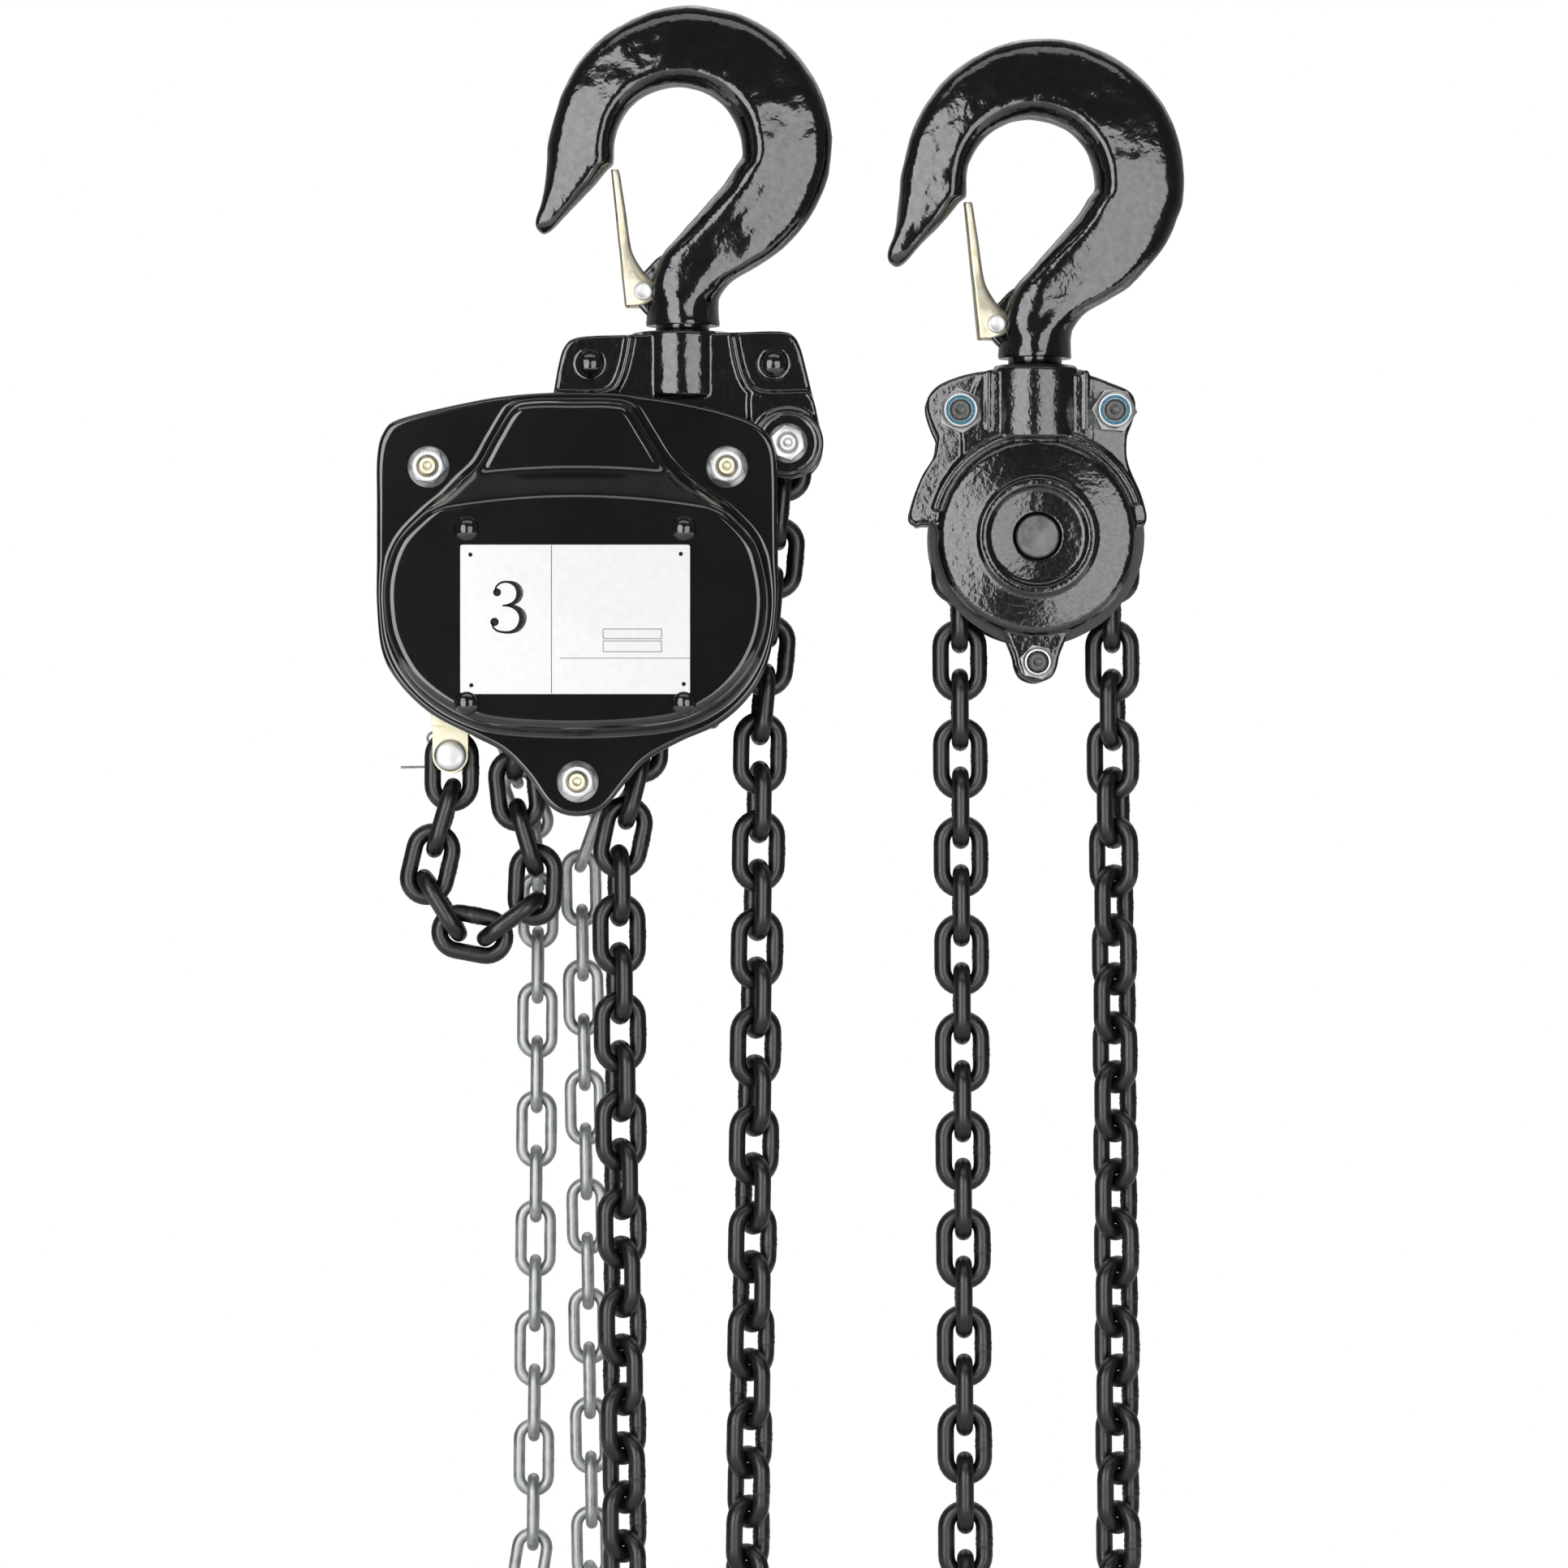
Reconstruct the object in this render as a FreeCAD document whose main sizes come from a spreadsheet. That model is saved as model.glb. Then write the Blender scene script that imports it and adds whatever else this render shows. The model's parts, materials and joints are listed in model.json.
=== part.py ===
import FreeCAD, Part
import math
import os
import re

import Sketcher
from FreeCAD import Placement, Rotation, Vector

# Hand chain hoist with its lower hook block. Millimetres, +Z up, +X to the right of the gear cover,
# -Y out of the gear cover. The origin is the seat of the top hook, the top of its bowl.
SIZES = {
    # load chain, round steel links
    "chain_wire": 7.1, "chain_pitch": 21, "chain_inner_width": 9.0, "chain_play": 0.25,
    # hand chain
    "hand_wire": 5, "hand_pitch": 24, "hand_inner_width": 7.6, "hand_play": 0.25,
    # hooks: bowl, outer circle, forged section
    "hook_bowl_radius": 27.2, "hook_bowl_offset": 2, "hook_outer_radius": 59.5, "hook_outer_offset": 4,
    "hook_crown_drop": 25.3, "hook_depth": 24, "hook_reach": 101.6, "hook_tip_drop": 60,
    "collar_radius": 15.5, "shank_radius": 11, "neck_length": 3,
    "shank_length": 24, "head_radius": 15, "head_height": 6,
    # spring latches
    "latch_pivot_x": 16.5, "latch_pivot_rise": 14.2, "latch_top_x": 30.4, "latch_top_drop": 34.6,
    "latch_cheek": 1.5, "latch_half_width": 6.8, "latch_ear_half": 2.8, "latch_ear_radius": 6,
    "latch_pin_radius": 2.5, "latch_head_radius": 4, "latch_head_height": 1.4, "latch_spring_wire": 1,
    # yoke, two forged halves, its drops counted from its own top
    "yoke_half_width": 58, "yoke_ear_drop": 32, "boss_radius": 22, "boss_height": 28,
    "ear_inner": 12.5, "ear_thickness": 6, "lug_radius": 15, "lug_face": 20.7, "lug_x": 44.6,
    "lug_drop": 47.7, "yoke_rivet_x": 38.7, "yoke_rivet_drop": 14.1, "yoke_rivet_radius": 5,
    "yoke_rivet_head": 6.4, "yoke_rivet_head_height": 3.5, "yoke_sleeve_radius": 8,
    "suspension_radius": 6, "anchor_radius": 4, "anchor_nut_height": 5,
    # hoist body about its main axis, which hangs the plates' height below the suspension
    "axis_x": -43.5, "plate_eye": 14.3, "plate_inner": 21, "plate_thickness": 5,
    "plate_half_width": 75, "plate_half_height": 88, "plate_margin": 12.4, "stud_z": 63.3, "stud_low": 68.7,
    "stud_radius": 6, "stud_thread_radius": 4, "nut_across": 13, "nut_height": 8,
    "nut_flange_radius": 8.7, "nut_flange_height": 1.6,
    # running fits, seats and overrun of cuts
    "running_fit": 0.05, "seat_gap": 0.3, "over": 5,
    # load sheave
    "sheave_links": 8, "sheave_flange_radius": 36, "sheave_body_radius": 26, "sheave_half_width": 19,
    "sheave_pocket_half": 12.3, "groove_half": 4.7, "journal_radius": 17, "sheave_bore": 8.65,
    "spigot_radius": 14, "spigot_end": 42, "bearing_outer": 22,
    # gear train
    "gear_centre": 40, "fine_module": 1.25, "pinion_teeth": 12, "disc_teeth": 52, "coarse_module": 2,
    "second_teeth": 10, "load_teeth": 30, "pressure_angle": 25, "gear_backlash": 0.2,
    "load_gear_front": 41, "load_gear_width": 12, "disc_front": 50, "disc_width": 6,
    "second_front": 42, "second_width": 14, "disc_journal_radius": 5,
    # pinion shaft, brake and hand wheel
    "shaft_radius": 8.6, "shaft_back": 81, "shaft_thread_radius": 8,
    "brake_flange_radius": 30, "brake_start": 27, "brake_flange_width": 3, "sleeve_radius": 13,
    "lining_width": 3, "lining_radius": 28, "ratchet_width": 5, "ratchet_radius": 36,
    "ratchet_root": 31, "ratchet_teeth": 12, "pawl_pin_distance": 50.3, "pawl_pin_angle": -20.9,
    "pawl_reach_angle": 28, "pawl_pin_radius": 4, "pawl_eye_radius": 8, "pawl_spring_wire": 1.2,
    "wheel_links": 14, "wheel_centre": 62, "wheel_half_width": 11.5, "wheel_rim_radius": 60,
    "wheel_body_radius": 51, "wheel_hub_radius": 20, "wheel_web": 5, "wheel_groove_half": 3.4,
    "wheel_pocket_half": 9.4, "wheel_inner_rim": 39, "wheel_nut_height": 7, "wheel_nut_across": 27,
    # gear cover and wheel cover
    "cover_lip": 2.9, "cover_up": 95, "cover_down": 83.5, "cover_wall": 2.5,
    "bulge_half_width": 81.5, "bulge_half_height": 48.7, "bulge_rise": 1.1, "cover_face": 60,
    "hood_face": 45, "hood_nut_gap": 7.9, "hood_top": 90, "hood_bottom": 45,
    "bearing_plate_half_width": 52, "bearing_plate_half_height": 37.8, "bearing_plate_thickness": 4,
    "cover_rivet_x": 45, "cover_rivet_z": 36, "cover_rivet_radius": 2.6,
    "cover_rivet_head": 5, "cover_rivet_head_height": 2.6,
    "rating_width": 95.2, "rating_height": 61.9, "rating_thickness": 0.8, "rating_drop": 1.5,
    "rating_pin_inset_x": 3.8, "rating_pin_inset_z": 3.95, "rating_pin_radius": 1.3,
    "drum_radius": 70, "drum_wall": 2, "drum_back": 88, "drum_mouth": 46,
    # chain guides and the tail of the load chain
    "roller_x": 47.8, "roller_drop": 20, "roller_radius": 7, "roller_pin_radius": 4,
    "stripper_half": 3.5, "stripper_half_width": 9, "stripper_top": 14.2,
    "tail_x": -54.6, "tail_drop": 57.6, "tail_pin_radius": 4, "tail_pin_head": 6.6,
    "tail_half_width": 7.5, "tail_top_drop": 42.5, "tail_strap": 2.5, "tail_cheek_gap": 5.6,
    # lower block about its own axis
    "block_x": 149.5, "block_boss_top": 73.3, "block_links": 10, "block_hook_z": -13.8,
    "block_plate_inner": 17.5, "block_plate_thickness": 4.5, "block_half_width": 54,
    "block_up": 71, "block_lug_radius": 8.5, "dome_radius": 39.5,
    "dome_face": 27, "dome_ring_radius": 24.2, "dome_ring_inner": 20.8, "dome_ring_height": 1.2,
    "block_axle_radius": 9.2, "block_boss_bottom": 47.6, "block_boss_radius": 21.5,
    "block_bolt_x": 32.4, "block_bolt_rise": 52.9, "block_bolt_drop": 52.8, "block_bolt_radius": 4,
    "block_sheave_flange": 45.4, "block_sheave_body": 31.6, "block_sheave_half": 16.8,
    # places the chains hang through
    "fall_x": -17.6, "fall_z": -287, "fall_bend_x": -27.2, "fall_bend_z": -325, "fall_low_x": -24.5,
    "slack_x": -71.5, "slack_z": -300,
    "anchor_mid_x": 33, "anchor_mid_z": -273, "anchor_low_x": 27.5, "frame_z": -628,
    "hand_left_x": -63.4, "hand_right_x": -45.2, "hand_top_z": -318, "hand_low_z": -640,
    "hand_left_low_x": -66, "hand_right_low_x": -40,
    "block_left_low_x": 120, "block_right_low_x": 185, "twist_total": 45,
    "twist_fall_links": 16, "untwist_block_links": 8, "twist_anchor_links": 21, "untwist_anchor_links": 6,
    "inner_bight": 130, "outer_bight": 190, "hand_bight": 30, "slack_bight": 52,
    "least_loop_radius": 24, "least_hand_radius": 24,
}

doc = FreeCAD.newDocument("HandChainHoist")
sheet = doc.addObject("Spreadsheet::Sheet", "Sizes")
for row, (name, value) in enumerate(SIZES.items(), 1):
    sheet.set(f"A{row}", name)
    sheet.set(f"B{row}", str(value))
    sheet.setAlias(f"B{row}", name)
doc.recompute()


def size(name):
    return float(sheet.get(name))


def amount(text):
    """Value of a sum of products of named sizes, such as "axis_x + stud_x" or "-2 * over"."""
    total, sign = 0.0, 1.0
    for word in re.sub(r"\s*([*/])\s*", r"\1", text).split():
        if word in "+-":
            sign = 1.0 if word == "+" else -1.0
            continue
        value = 1.0
        if word[0] == "-":
            value, word = -1.0, word[1:]
        for operator, factor in re.findall(r"([*/]?)([\w.]+)", word):
            number = size(factor) if factor in SIZES else float(factor)
            value = value / number if operator == "/" else value * number
        total += sign * value
    return total


def cells(text):
    """The same sum as an expression on the sheet."""
    return re.sub(r"[A-Za-z]\w*", lambda found: "Sizes." + found.group(), text)


def minus(text):
    """The same sum with every sign turned."""
    signed = text if text[0] == "-" else "+" + text
    return signed.translate(str.maketrans("+-", "-+")).lstrip("+")


# heights that follow from the sizes, as sums: each piece hangs from the one above it
YOKE_top = "-hook_reach - neck_length"
LUG_z = YOKE_top + " - lug_drop"
AXIS_z = LUG_z + " - plate_half_height + plate_eye"
LATCH_z = "-hook_reach + latch_pivot_rise"
BLOCK_z = "block_hook_z - hook_reach - neck_length - block_boss_top"
STUD_x = "plate_half_width - plate_margin"


# features drawn on a body's own planes
def new_body(name, x="", y="", z=""):
    body = doc.addObject("PartDesign::Body", name)
    for axis, text in (("x", x), ("y", y), ("z", z)):
        if text:
            body.setExpression(f"Placement.Base.{axis}", cells(text))
    return body


def new_sketch(body, name, role, offset=""):
    """Sketch on XZ_Plane (offset counted towards -Y), XY_Plane or YZ_Plane of the body."""
    sketch = body.newObject("Sketcher::SketchObject", name)
    plane = next(item for item in body.Origin.OriginFeatures if item.Role == role)
    sketch.AttachmentSupport = (plane, [""])
    sketch.MapMode = "FlatFace"
    if offset:
        sketch.setExpression("AttachmentOffset.Base.z", cells(offset))
    return sketch


def draw_outline(sketch, corners):
    """Closed line through corners, each a pair of sums of named sizes."""
    first = sketch.GeometryCount
    spots = [(amount(a), amount(b)) for a, b in corners]
    count = len(spots)
    for i, spot in enumerate(spots):
        after = spots[(i + 1) % count]
        sketch.addGeometry(Part.LineSegment(Vector(*spot, 0), Vector(*after, 0)))
    for i, (spot, texts) in enumerate(zip(spots, corners)):
        sketch.addConstraint(Sketcher.Constraint("Coincident", first + i, 2, first + (i + 1) % count, 1))
        for kind, value, text in (("DistanceX", spot[0], texts[0]), ("DistanceY", spot[1], texts[1])):
            made = sketch.addConstraint(Sketcher.Constraint(kind, -1, 1, first + i, 1, value))
            sketch.setExpression(f"Constraints[{made}]", cells(text))


def draw_circle(sketch, x, z, radius):
    at = sketch.addGeometry(Part.Circle(Vector(amount(x), amount(z), 0), Vector(0, 0, 1), amount(radius)))
    for kind, value, text in (("DistanceX", amount(x), x), ("DistanceY", amount(z), z)):
        made = sketch.addConstraint(Sketcher.Constraint(kind, -1, 1, at, 3, value))
        sketch.setExpression(f"Constraints[{made}]", cells(text))
    made = sketch.addConstraint(Sketcher.Constraint("Radius", at, amount(radius)))
    sketch.setExpression(f"Constraints[{made}]", cells(radius))


def pad(body, sketch, length, both_ways=False):
    made = body.newObject("PartDesign::Pad", sketch.Name + "_pad")
    made.Profile = sketch
    made.setExpression("Length", cells(length))
    made.Midplane = both_ways
    return made


def pocket(body, sketch, length, forward=False, both_ways=False):
    """Cut against the sketch's normal, or along it when forward is set."""
    made = body.newObject("PartDesign::Pocket", sketch.Name + "_cut")
    made.Profile = sketch
    made.setExpression("Length", cells(length))
    made.Reversed = forward
    made.Midplane = both_ways
    return made


def turned(name, profile, x="", z="", y=""):
    """Body of revolution about Y; profile corners are (radius, y)."""
    body = new_body(name, x, y, z)
    sketch = new_sketch(body, name + "_profile", "XY_Plane")
    draw_outline(sketch, profile)
    made = body.newObject("PartDesign::Revolution", name + "_turned")
    made.Profile = sketch
    made.ReferenceAxis = (sketch, ["V_Axis"])
    made.Angle = 360
    return body


def share_corners(shares, width, up, down=""):
    """Corners of a half outline given as shares of width and height, mirrored about x = 0."""
    half = [(sx, sz, up if sz >= 0 or not down else down) for sx, sz in shares]
    right = [(f"{sx} * {width}", f"{sz} * {name}") for sx, sz, name in half]
    left = [(f"{-sx} * {width}", f"{sz} * {name}") for sx, sz, name in reversed(half) if sx]
    return right + left


def pin(name, radius, start, length, x, z, direction=Vector(0, 1, 0)):
    """Cylinder along Y from start, its x and z sums of named sizes."""
    made = doc.addObject("Part::Cylinder", name)
    made.setExpression("Radius", cells(radius))
    made.setExpression("Height", cells(length))
    made.Placement = Placement(Vector(), Rotation(Vector(0, 0, 1), direction))
    made.setExpression("Placement.Base.x", cells(x))
    made.setExpression("Placement.Base.y", cells(start))
    made.setExpression("Placement.Base.z", cells(z))
    return made


NODES = []


def node(item, name):
    item.Label = name
    NODES.append(item)
    return item


def cut(name, base, tool):
    made = doc.addObject("Part::Cut", name)
    made.Base, made.Tool = base, tool
    return made


def coded(name, shape, x=0.0, y=0.0, z=0.0, turn=None):
    made = doc.addObject("Part::Feature", name)
    made.Shape = shape
    made.Placement = Placement(Vector(x, y, z), turn or Rotation())
    return made


def mirrored(name, source):
    made = doc.addObject("Part::Mirroring", name)
    made.Source = source
    made.Normal = Vector(0, 1, 0)
    return made


def prism(points, y0, y1):
    """Closed outline in XZ, extruded between two y values."""
    wire = Part.makePolygon([Vector(x, y0, z) for x, z in points] + [Vector(points[0][0], y0, points[0][1])])
    return Part.Face(wire).extrude(Vector(0, y1 - y0, 0))


def rod(radius, x, z, y0, y1):
    return Part.makeCylinder(radius, y1 - y0, Vector(x, y0, z), Vector(0, 1, 0))


# hooks: a loft round the bowl, with the collar, the shank and its captured head below
NECK_shares = [(-0.252, 0.252, -0.93, -0.93), (-0.225, 0.31, -0.817, -0.835),
               (-0.156, 0.43, -0.698, -0.778), (0.0, 0.605, -0.595, -0.721),
               (0.168, 0.80, -0.491, -0.628), (0.306, 0.95, -0.4, -0.512),
               (0.375, 1.025, -0.335, -0.399)]
NECK_depth_shares = [1.22, 1.12, 1.04, 1, 1, 1, 1]
BOWL_angles = [2, 30, 60, 90, 120, 150, 176]
BOWL_depth_shares = [1, 1, 1, 1, 1, 1, 0.96]
TIP_shares = [(-0.515, -0.965, -0.57, -0.52), (-0.6, -0.98, -0.69, -0.66), (-0.73, -0.995, -0.81, -0.78),
              (-0.86, -1.015, -0.93, -0.905), (-0.945, -1.035, -1.01, -0.985)]
TIP_depth_shares = [0.93, 0.82, 0.68, 0.52, 0.32]
SECTION_corner = 2.6


def hook_section(inner, outer, depth, squareness):
    """Closed smooth section between two points of the hook's outline, seen from the front."""
    centre = (inner + outer) * 0.5
    half = (outer - inner) * 0.5
    points = []
    for i in range(12):
        angle = 2 * math.pi * i / 12
        across = math.copysign(abs(math.cos(angle)) ** (2 / squareness), math.cos(angle))
        through = math.copysign(abs(math.sin(angle)) ** (2 / squareness), math.sin(angle))
        points.append(centre + half * across + Vector(0, depth / 2 * through, 0))
    curve = Part.BSplineCurve()
    curve.interpolate(Points=points, PeriodicFlag=True)
    return Part.Wire(curve.toShape())


def hook_shape():
    bowl, outer = size("hook_bowl_radius"), size("hook_outer_radius")
    depth, reach, drop = size("hook_depth"), size("hook_reach"), size("hook_tip_drop")
    centre = Vector(-size("hook_bowl_offset"), 0, -bowl)
    offset = Vector(size("hook_outer_offset"), 0, -size("hook_crown_drop")) - centre
    stations = []
    for i, (x0, x1, z0, z1) in enumerate(NECK_shares):
        squareness = 2 + (SECTION_corner - 2) * min(i / 3, 1)
        stations.append((Vector(x0 * outer, 0, z0 * reach), Vector(x1 * outer, 0, z1 * reach),
                         NECK_depth_shares[i] * depth, squareness))
    for angle, share in zip(BOWL_angles, BOWL_depth_shares):
        ray = Vector(math.cos(math.radians(angle)), 0, math.sin(math.radians(angle)))
        along = ray.dot(offset)
        far = along + math.sqrt(outer ** 2 - offset.dot(offset) + along ** 2)
        stations.append((centre + ray * bowl, centre + ray * far, share * depth, SECTION_corner))
    for (x0, x1, z0, z1), share in zip(TIP_shares, TIP_depth_shares):
        stations.append((Vector(x0 * outer, 0, z0 * drop), Vector(x1 * outer, 0, z1 * drop),
                         share * depth, SECTION_corner))
    arm = Part.makeLoft([hook_section(*station) for station in stations], True, False)
    first = NECK_shares[0][2] * reach
    collar = Part.makeCylinder(size("collar_radius"), first + reach, Vector(0, 0, -reach))
    shank_end = -reach - size("neck_length") - size("shank_length")
    shank = Part.makeCylinder(size("shank_radius"), -reach - shank_end, Vector(0, 0, shank_end))
    head = Part.makeCylinder(size("head_radius"), size("head_height"), Vector(0, 0, shank_end))
    ear_half, ear_radius = size("latch_ear_half"), size("latch_ear_radius")
    pivot = Vector(-size("latch_pivot_x"), 0, amount(LATCH_z))
    ear = rod(ear_radius, pivot.x, pivot.z, -ear_half, ear_half)
    web = prism([(pivot.x, pivot.z + ear_radius), (0, pivot.z + ear_radius), (0, pivot.z - ear_radius),
                 (pivot.x, pivot.z - ear_radius)], -ear_half, ear_half)
    whole = arm.fuse([collar, shank, head, ear, web])
    hole = rod(size("latch_pin_radius") + size("running_fit"), pivot.x, pivot.z, -depth, depth)
    return whole.cut(hole)


# the latch: a pressed channel, pivoting in the ear, its end behind the nose
LATCH_shares = [(-0.965, 0.02), (-0.87, 0.02), (-0.83, 0.12), (-0.77, 0.57), (-0.7, 0.71), (-0.6, 0.845),
                (-0.43, 0.96), (-0.46, 1.07), (-0.56, 1.1), (-0.79, 1.09)]


def latch_shape():
    side, top = size("latch_top_x"), -size("latch_top_drop")
    long = top - amount(LATCH_z)
    half, wall = size("latch_half_width"), size("latch_cheek")
    outline = [(sx * side, top - sz * long) for sx, sz in LATCH_shares]
    inner = [(x + wall, z) for x, z in outline[:1]] + [(side, top + wall), (side, -size("hook_reach"))]
    inner.append((outline[-1][0] + wall, -size("hook_reach")))
    shape = prism(outline, -half, half).cut(prism(inner, wall - half, half - wall))
    pivot = (-size("latch_pivot_x"), amount(LATCH_z))
    return shape.cut(rod(size("latch_pin_radius") + size("running_fit"), *pivot, -half - wall, half + wall))


def latch_pin_shape():
    half = size("latch_half_width") + size("running_fit")
    pivot = (-size("latch_pivot_x"), amount(LATCH_z))
    head, tall = size("latch_head_radius"), size("latch_head_height")
    stem = rod(size("latch_pin_radius"), *pivot, -half - tall, half + tall)
    return stem.fuse([rod(head, *pivot, -half - tall, -half), rod(head, *pivot, half, half + tall)])


def coil_edges(centre, radius, step, quarters, first):
    """Quarter turns of a coil about Y, from the angle first in XZ, as arcs that follow each other."""
    def spot(turn):
        angle = math.radians(first + 90 * turn)
        return centre + Vector(radius * math.cos(angle), step * turn / 4, radius * math.sin(angle))

    return [Part.Arc(spot(i), spot(i + 0.5), spot(i + 1)).toShape() for i in range(quarters)]


def wire_form(edges, wire):
    """Round wire along edges; the first edge is straight."""
    path = Part.Wire(edges)
    start, end = edges[0].Vertexes[0].Point, edges[0].Vertexes[-1].Point
    ring = Part.Wire(Part.Circle(start, end - start, wire / 2).toShape())
    form = path.makePipeShell([ring], True, False)
    return form if form.Volume > 0 else form.reversed()


def latch_spring_shape():
    """A turn and a half round the pin beside the ear, one leg up the neck and one along the latch's web."""
    wire = size("latch_spring_wire")
    radius = size("latch_pin_radius") + wire
    step = (size("latch_half_width") - size("latch_cheek") - size("latch_ear_half") - wire) / 1.6
    centre = Vector(-size("latch_pivot_x"), -size("latch_half_width") + size("latch_cheek") + wire * 0.55,
                    amount(LATCH_z))
    long = size("latch_ear_radius") * 2
    coil = coil_edges(centre, radius, step, 6, 180)
    first, last = centre + Vector(-radius, 0, 0), centre + Vector(radius, step * 1.5, 0)
    legs = Part.makeLine(first + Vector(0, 0, long), first), Part.makeLine(last, last + Vector(0, 0, long))
    return wire_form([legs[0]] + coil + [legs[1]], wire)


for place, x, z in (("top", 0.0, 0.0), ("lower", size("block_x"), size("block_hook_z"))):
    node(coded(place + "_hook_solid", hook_shape(), x, 0, z), place + "_hook")
    node(coded(place + "_latch_solid", latch_shape(), x, 0, z), place + "_latch")
    node(coded(place + "_latch_pin_solid", latch_pin_shape(), x, 0, z), place + "_latch_pin")
    node(coded(place + "_latch_spring_solid", latch_spring_shape(), x, 0, z), place + "_latch_spring")


# yoke: two forged halves clasping the hook's shank, split on y = 0
YOKE_shares = [(0.0, 0.0), (0.73, 0.02), (0.84, -0.08), (0.9, -0.43), (0.955, -0.85), (1.0, -1.45),
               (0.56, -1.5), (0.5, -1.15), (0.38, -0.98), (0.0, -0.9)]
yoke = new_body("yoke_half", z=YOKE_top)
outline = new_sketch(yoke, "yoke_ear", "XZ_Plane", "ear_inner")
draw_outline(outline, share_corners(YOKE_shares, "yoke_half_width", "yoke_ear_drop"))
pad(yoke, outline, "ear_thickness")
lugs = new_sketch(yoke, "yoke_lugs", "XZ_Plane", "ear_inner")
draw_circle(lugs, "lug_x", "-lug_drop", "lug_radius")
draw_circle(lugs, "-lug_x", "-lug_drop", "lug_radius")
pad(yoke, lugs, "lug_face - ear_inner")
boss = new_sketch(yoke, "yoke_boss", "XY_Plane", "-boss_height")
draw_circle(boss, "0", "0", "boss_radius")
pad(yoke, boss, "boss_height")
split = new_sketch(yoke, "yoke_split", "XZ_Plane")
draw_outline(split, [("-2 * boss_radius", "-2 * boss_height"), ("2 * boss_radius", "-2 * boss_height"),
                     ("2 * boss_radius", "over"), ("-2 * boss_radius", "over")])
pocket(yoke, split, "boss_radius + over")
bore = new_sketch(yoke, "yoke_bore", "XY_Plane", "over")
draw_circle(bore, "0", "0", "shank_radius + seat_gap")
pocket(yoke, bore, "boss_height + 2 * over")
seat = new_sketch(yoke, "yoke_head_seat", "XY_Plane", "head_height - shank_length + seat_gap")
draw_circle(seat, "0", "0", "head_radius + seat_gap")
pocket(yoke, seat, "head_height + 2 * seat_gap")
holes = new_sketch(yoke, "yoke_holes", "XZ_Plane", "lug_face + over")
draw_circle(holes, "-lug_x", "-lug_drop", "suspension_radius + running_fit")
draw_circle(holes, "lug_x", "-lug_drop", "anchor_radius + running_fit")
draw_circle(holes, "-yoke_rivet_x", "-yoke_rivet_drop", "yoke_rivet_radius")
draw_circle(holes, "yoke_rivet_x", "-yoke_rivet_drop", "yoke_rivet_radius")
pocket(yoke, holes, "lug_face + over")
node(yoke, "yoke_front_half")
node(mirrored("yoke_rear", yoke), "yoke_rear_half")


def stem_with_heads(radius, head, tall, face, x, z, sleeve=0.0, inner=0.0):
    """Rivet through two ears: domed heads outside, a distance sleeve between."""
    parts = [rod(radius, x, z, -face - tall / 2, face + tall / 2)]
    for side in (-1, 1):
        dome = Part.makeCone(head, head * 0.62, tall, Vector(x, side * face, z), Vector(0, side, 0))
        parts.append(dome)
    if sleeve:
        parts.append(rod(sleeve, x, z, -inner, inner))
    return parts[0].fuse(parts[1:])


ear_face = size("ear_inner") + size("ear_thickness")
rivets = [stem_with_heads(size("yoke_rivet_radius"), size("yoke_rivet_head"), size("yoke_rivet_head_height"),
                          ear_face, side * size("yoke_rivet_x"), amount(YOKE_top + " - yoke_rivet_drop"),
                          size("yoke_sleeve_radius"), size("ear_inner")) for side in (-1, 1)]
node(coded("yoke_rivet_pair", Part.makeCompound(rivets)), "yoke_rivets")
node(pin("suspension_pin_solid", "suspension_radius", "-plate_inner - plate_thickness",
         "2 * plate_inner + 2 * plate_thickness", "-lug_x", LUG_z), "suspension_pin")


def hexagon(across, x, z, y0, y1, turn=0.0):
    radius = across / math.sqrt(3)
    corners = [(x + radius * math.cos(math.radians(60 * i + turn)),
                z + radius * math.sin(math.radians(60 * i + turn))) for i in range(6)]
    return prism(corners, y0, y1)


def flange_nut(x, z, face, side, bore, height="nut_height"):
    """Hexagon nut with its flange against a face; side -1 is the front."""
    tall, brim = size(height), size("nut_flange_height")
    brim_part = Part.makeCone(size("nut_flange_radius"), size("nut_flange_radius") * 0.86, brim,
                              Vector(x, face, z), Vector(0, side, 0))
    ends = sorted((face + side * brim, face + side * tall))
    crown = Part.makeCone(size("nut_across") * 0.6, size("nut_across") * 0.5, tall,
                          Vector(x, face, z), Vector(0, side, 0))
    body = brim_part.fuse(hexagon(size("nut_across"), x, z, *ends).common(
        crown.fuse(rod(size("nut_across") * 0.58, x, z, *sorted((face, face + side * tall * 0.85))))))
    return body.cut(rod(bore, x, z, face - tall * 2, face + tall * 2))


lug_face, lug_z = size("lug_face"), amount(LUG_z)
bolt_radius = size("anchor_radius")
anchor = rod(bolt_radius, size("lug_x"), lug_z, -lug_face - size("anchor_nut_height") * 1.2, lug_face)
anchor = anchor.fuse(hexagon(size("nut_across"), size("lug_x"), lug_z, lug_face,
                             lug_face + size("nut_height") * 0.7))
anchor_nut = flange_nut(size("lug_x"), lug_z, -lug_face, -1, bolt_radius, "anchor_nut_height")
node(coded("anchor_bolt_set", Part.makeCompound([anchor, anchor_nut])), "anchor_bolt")

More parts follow.
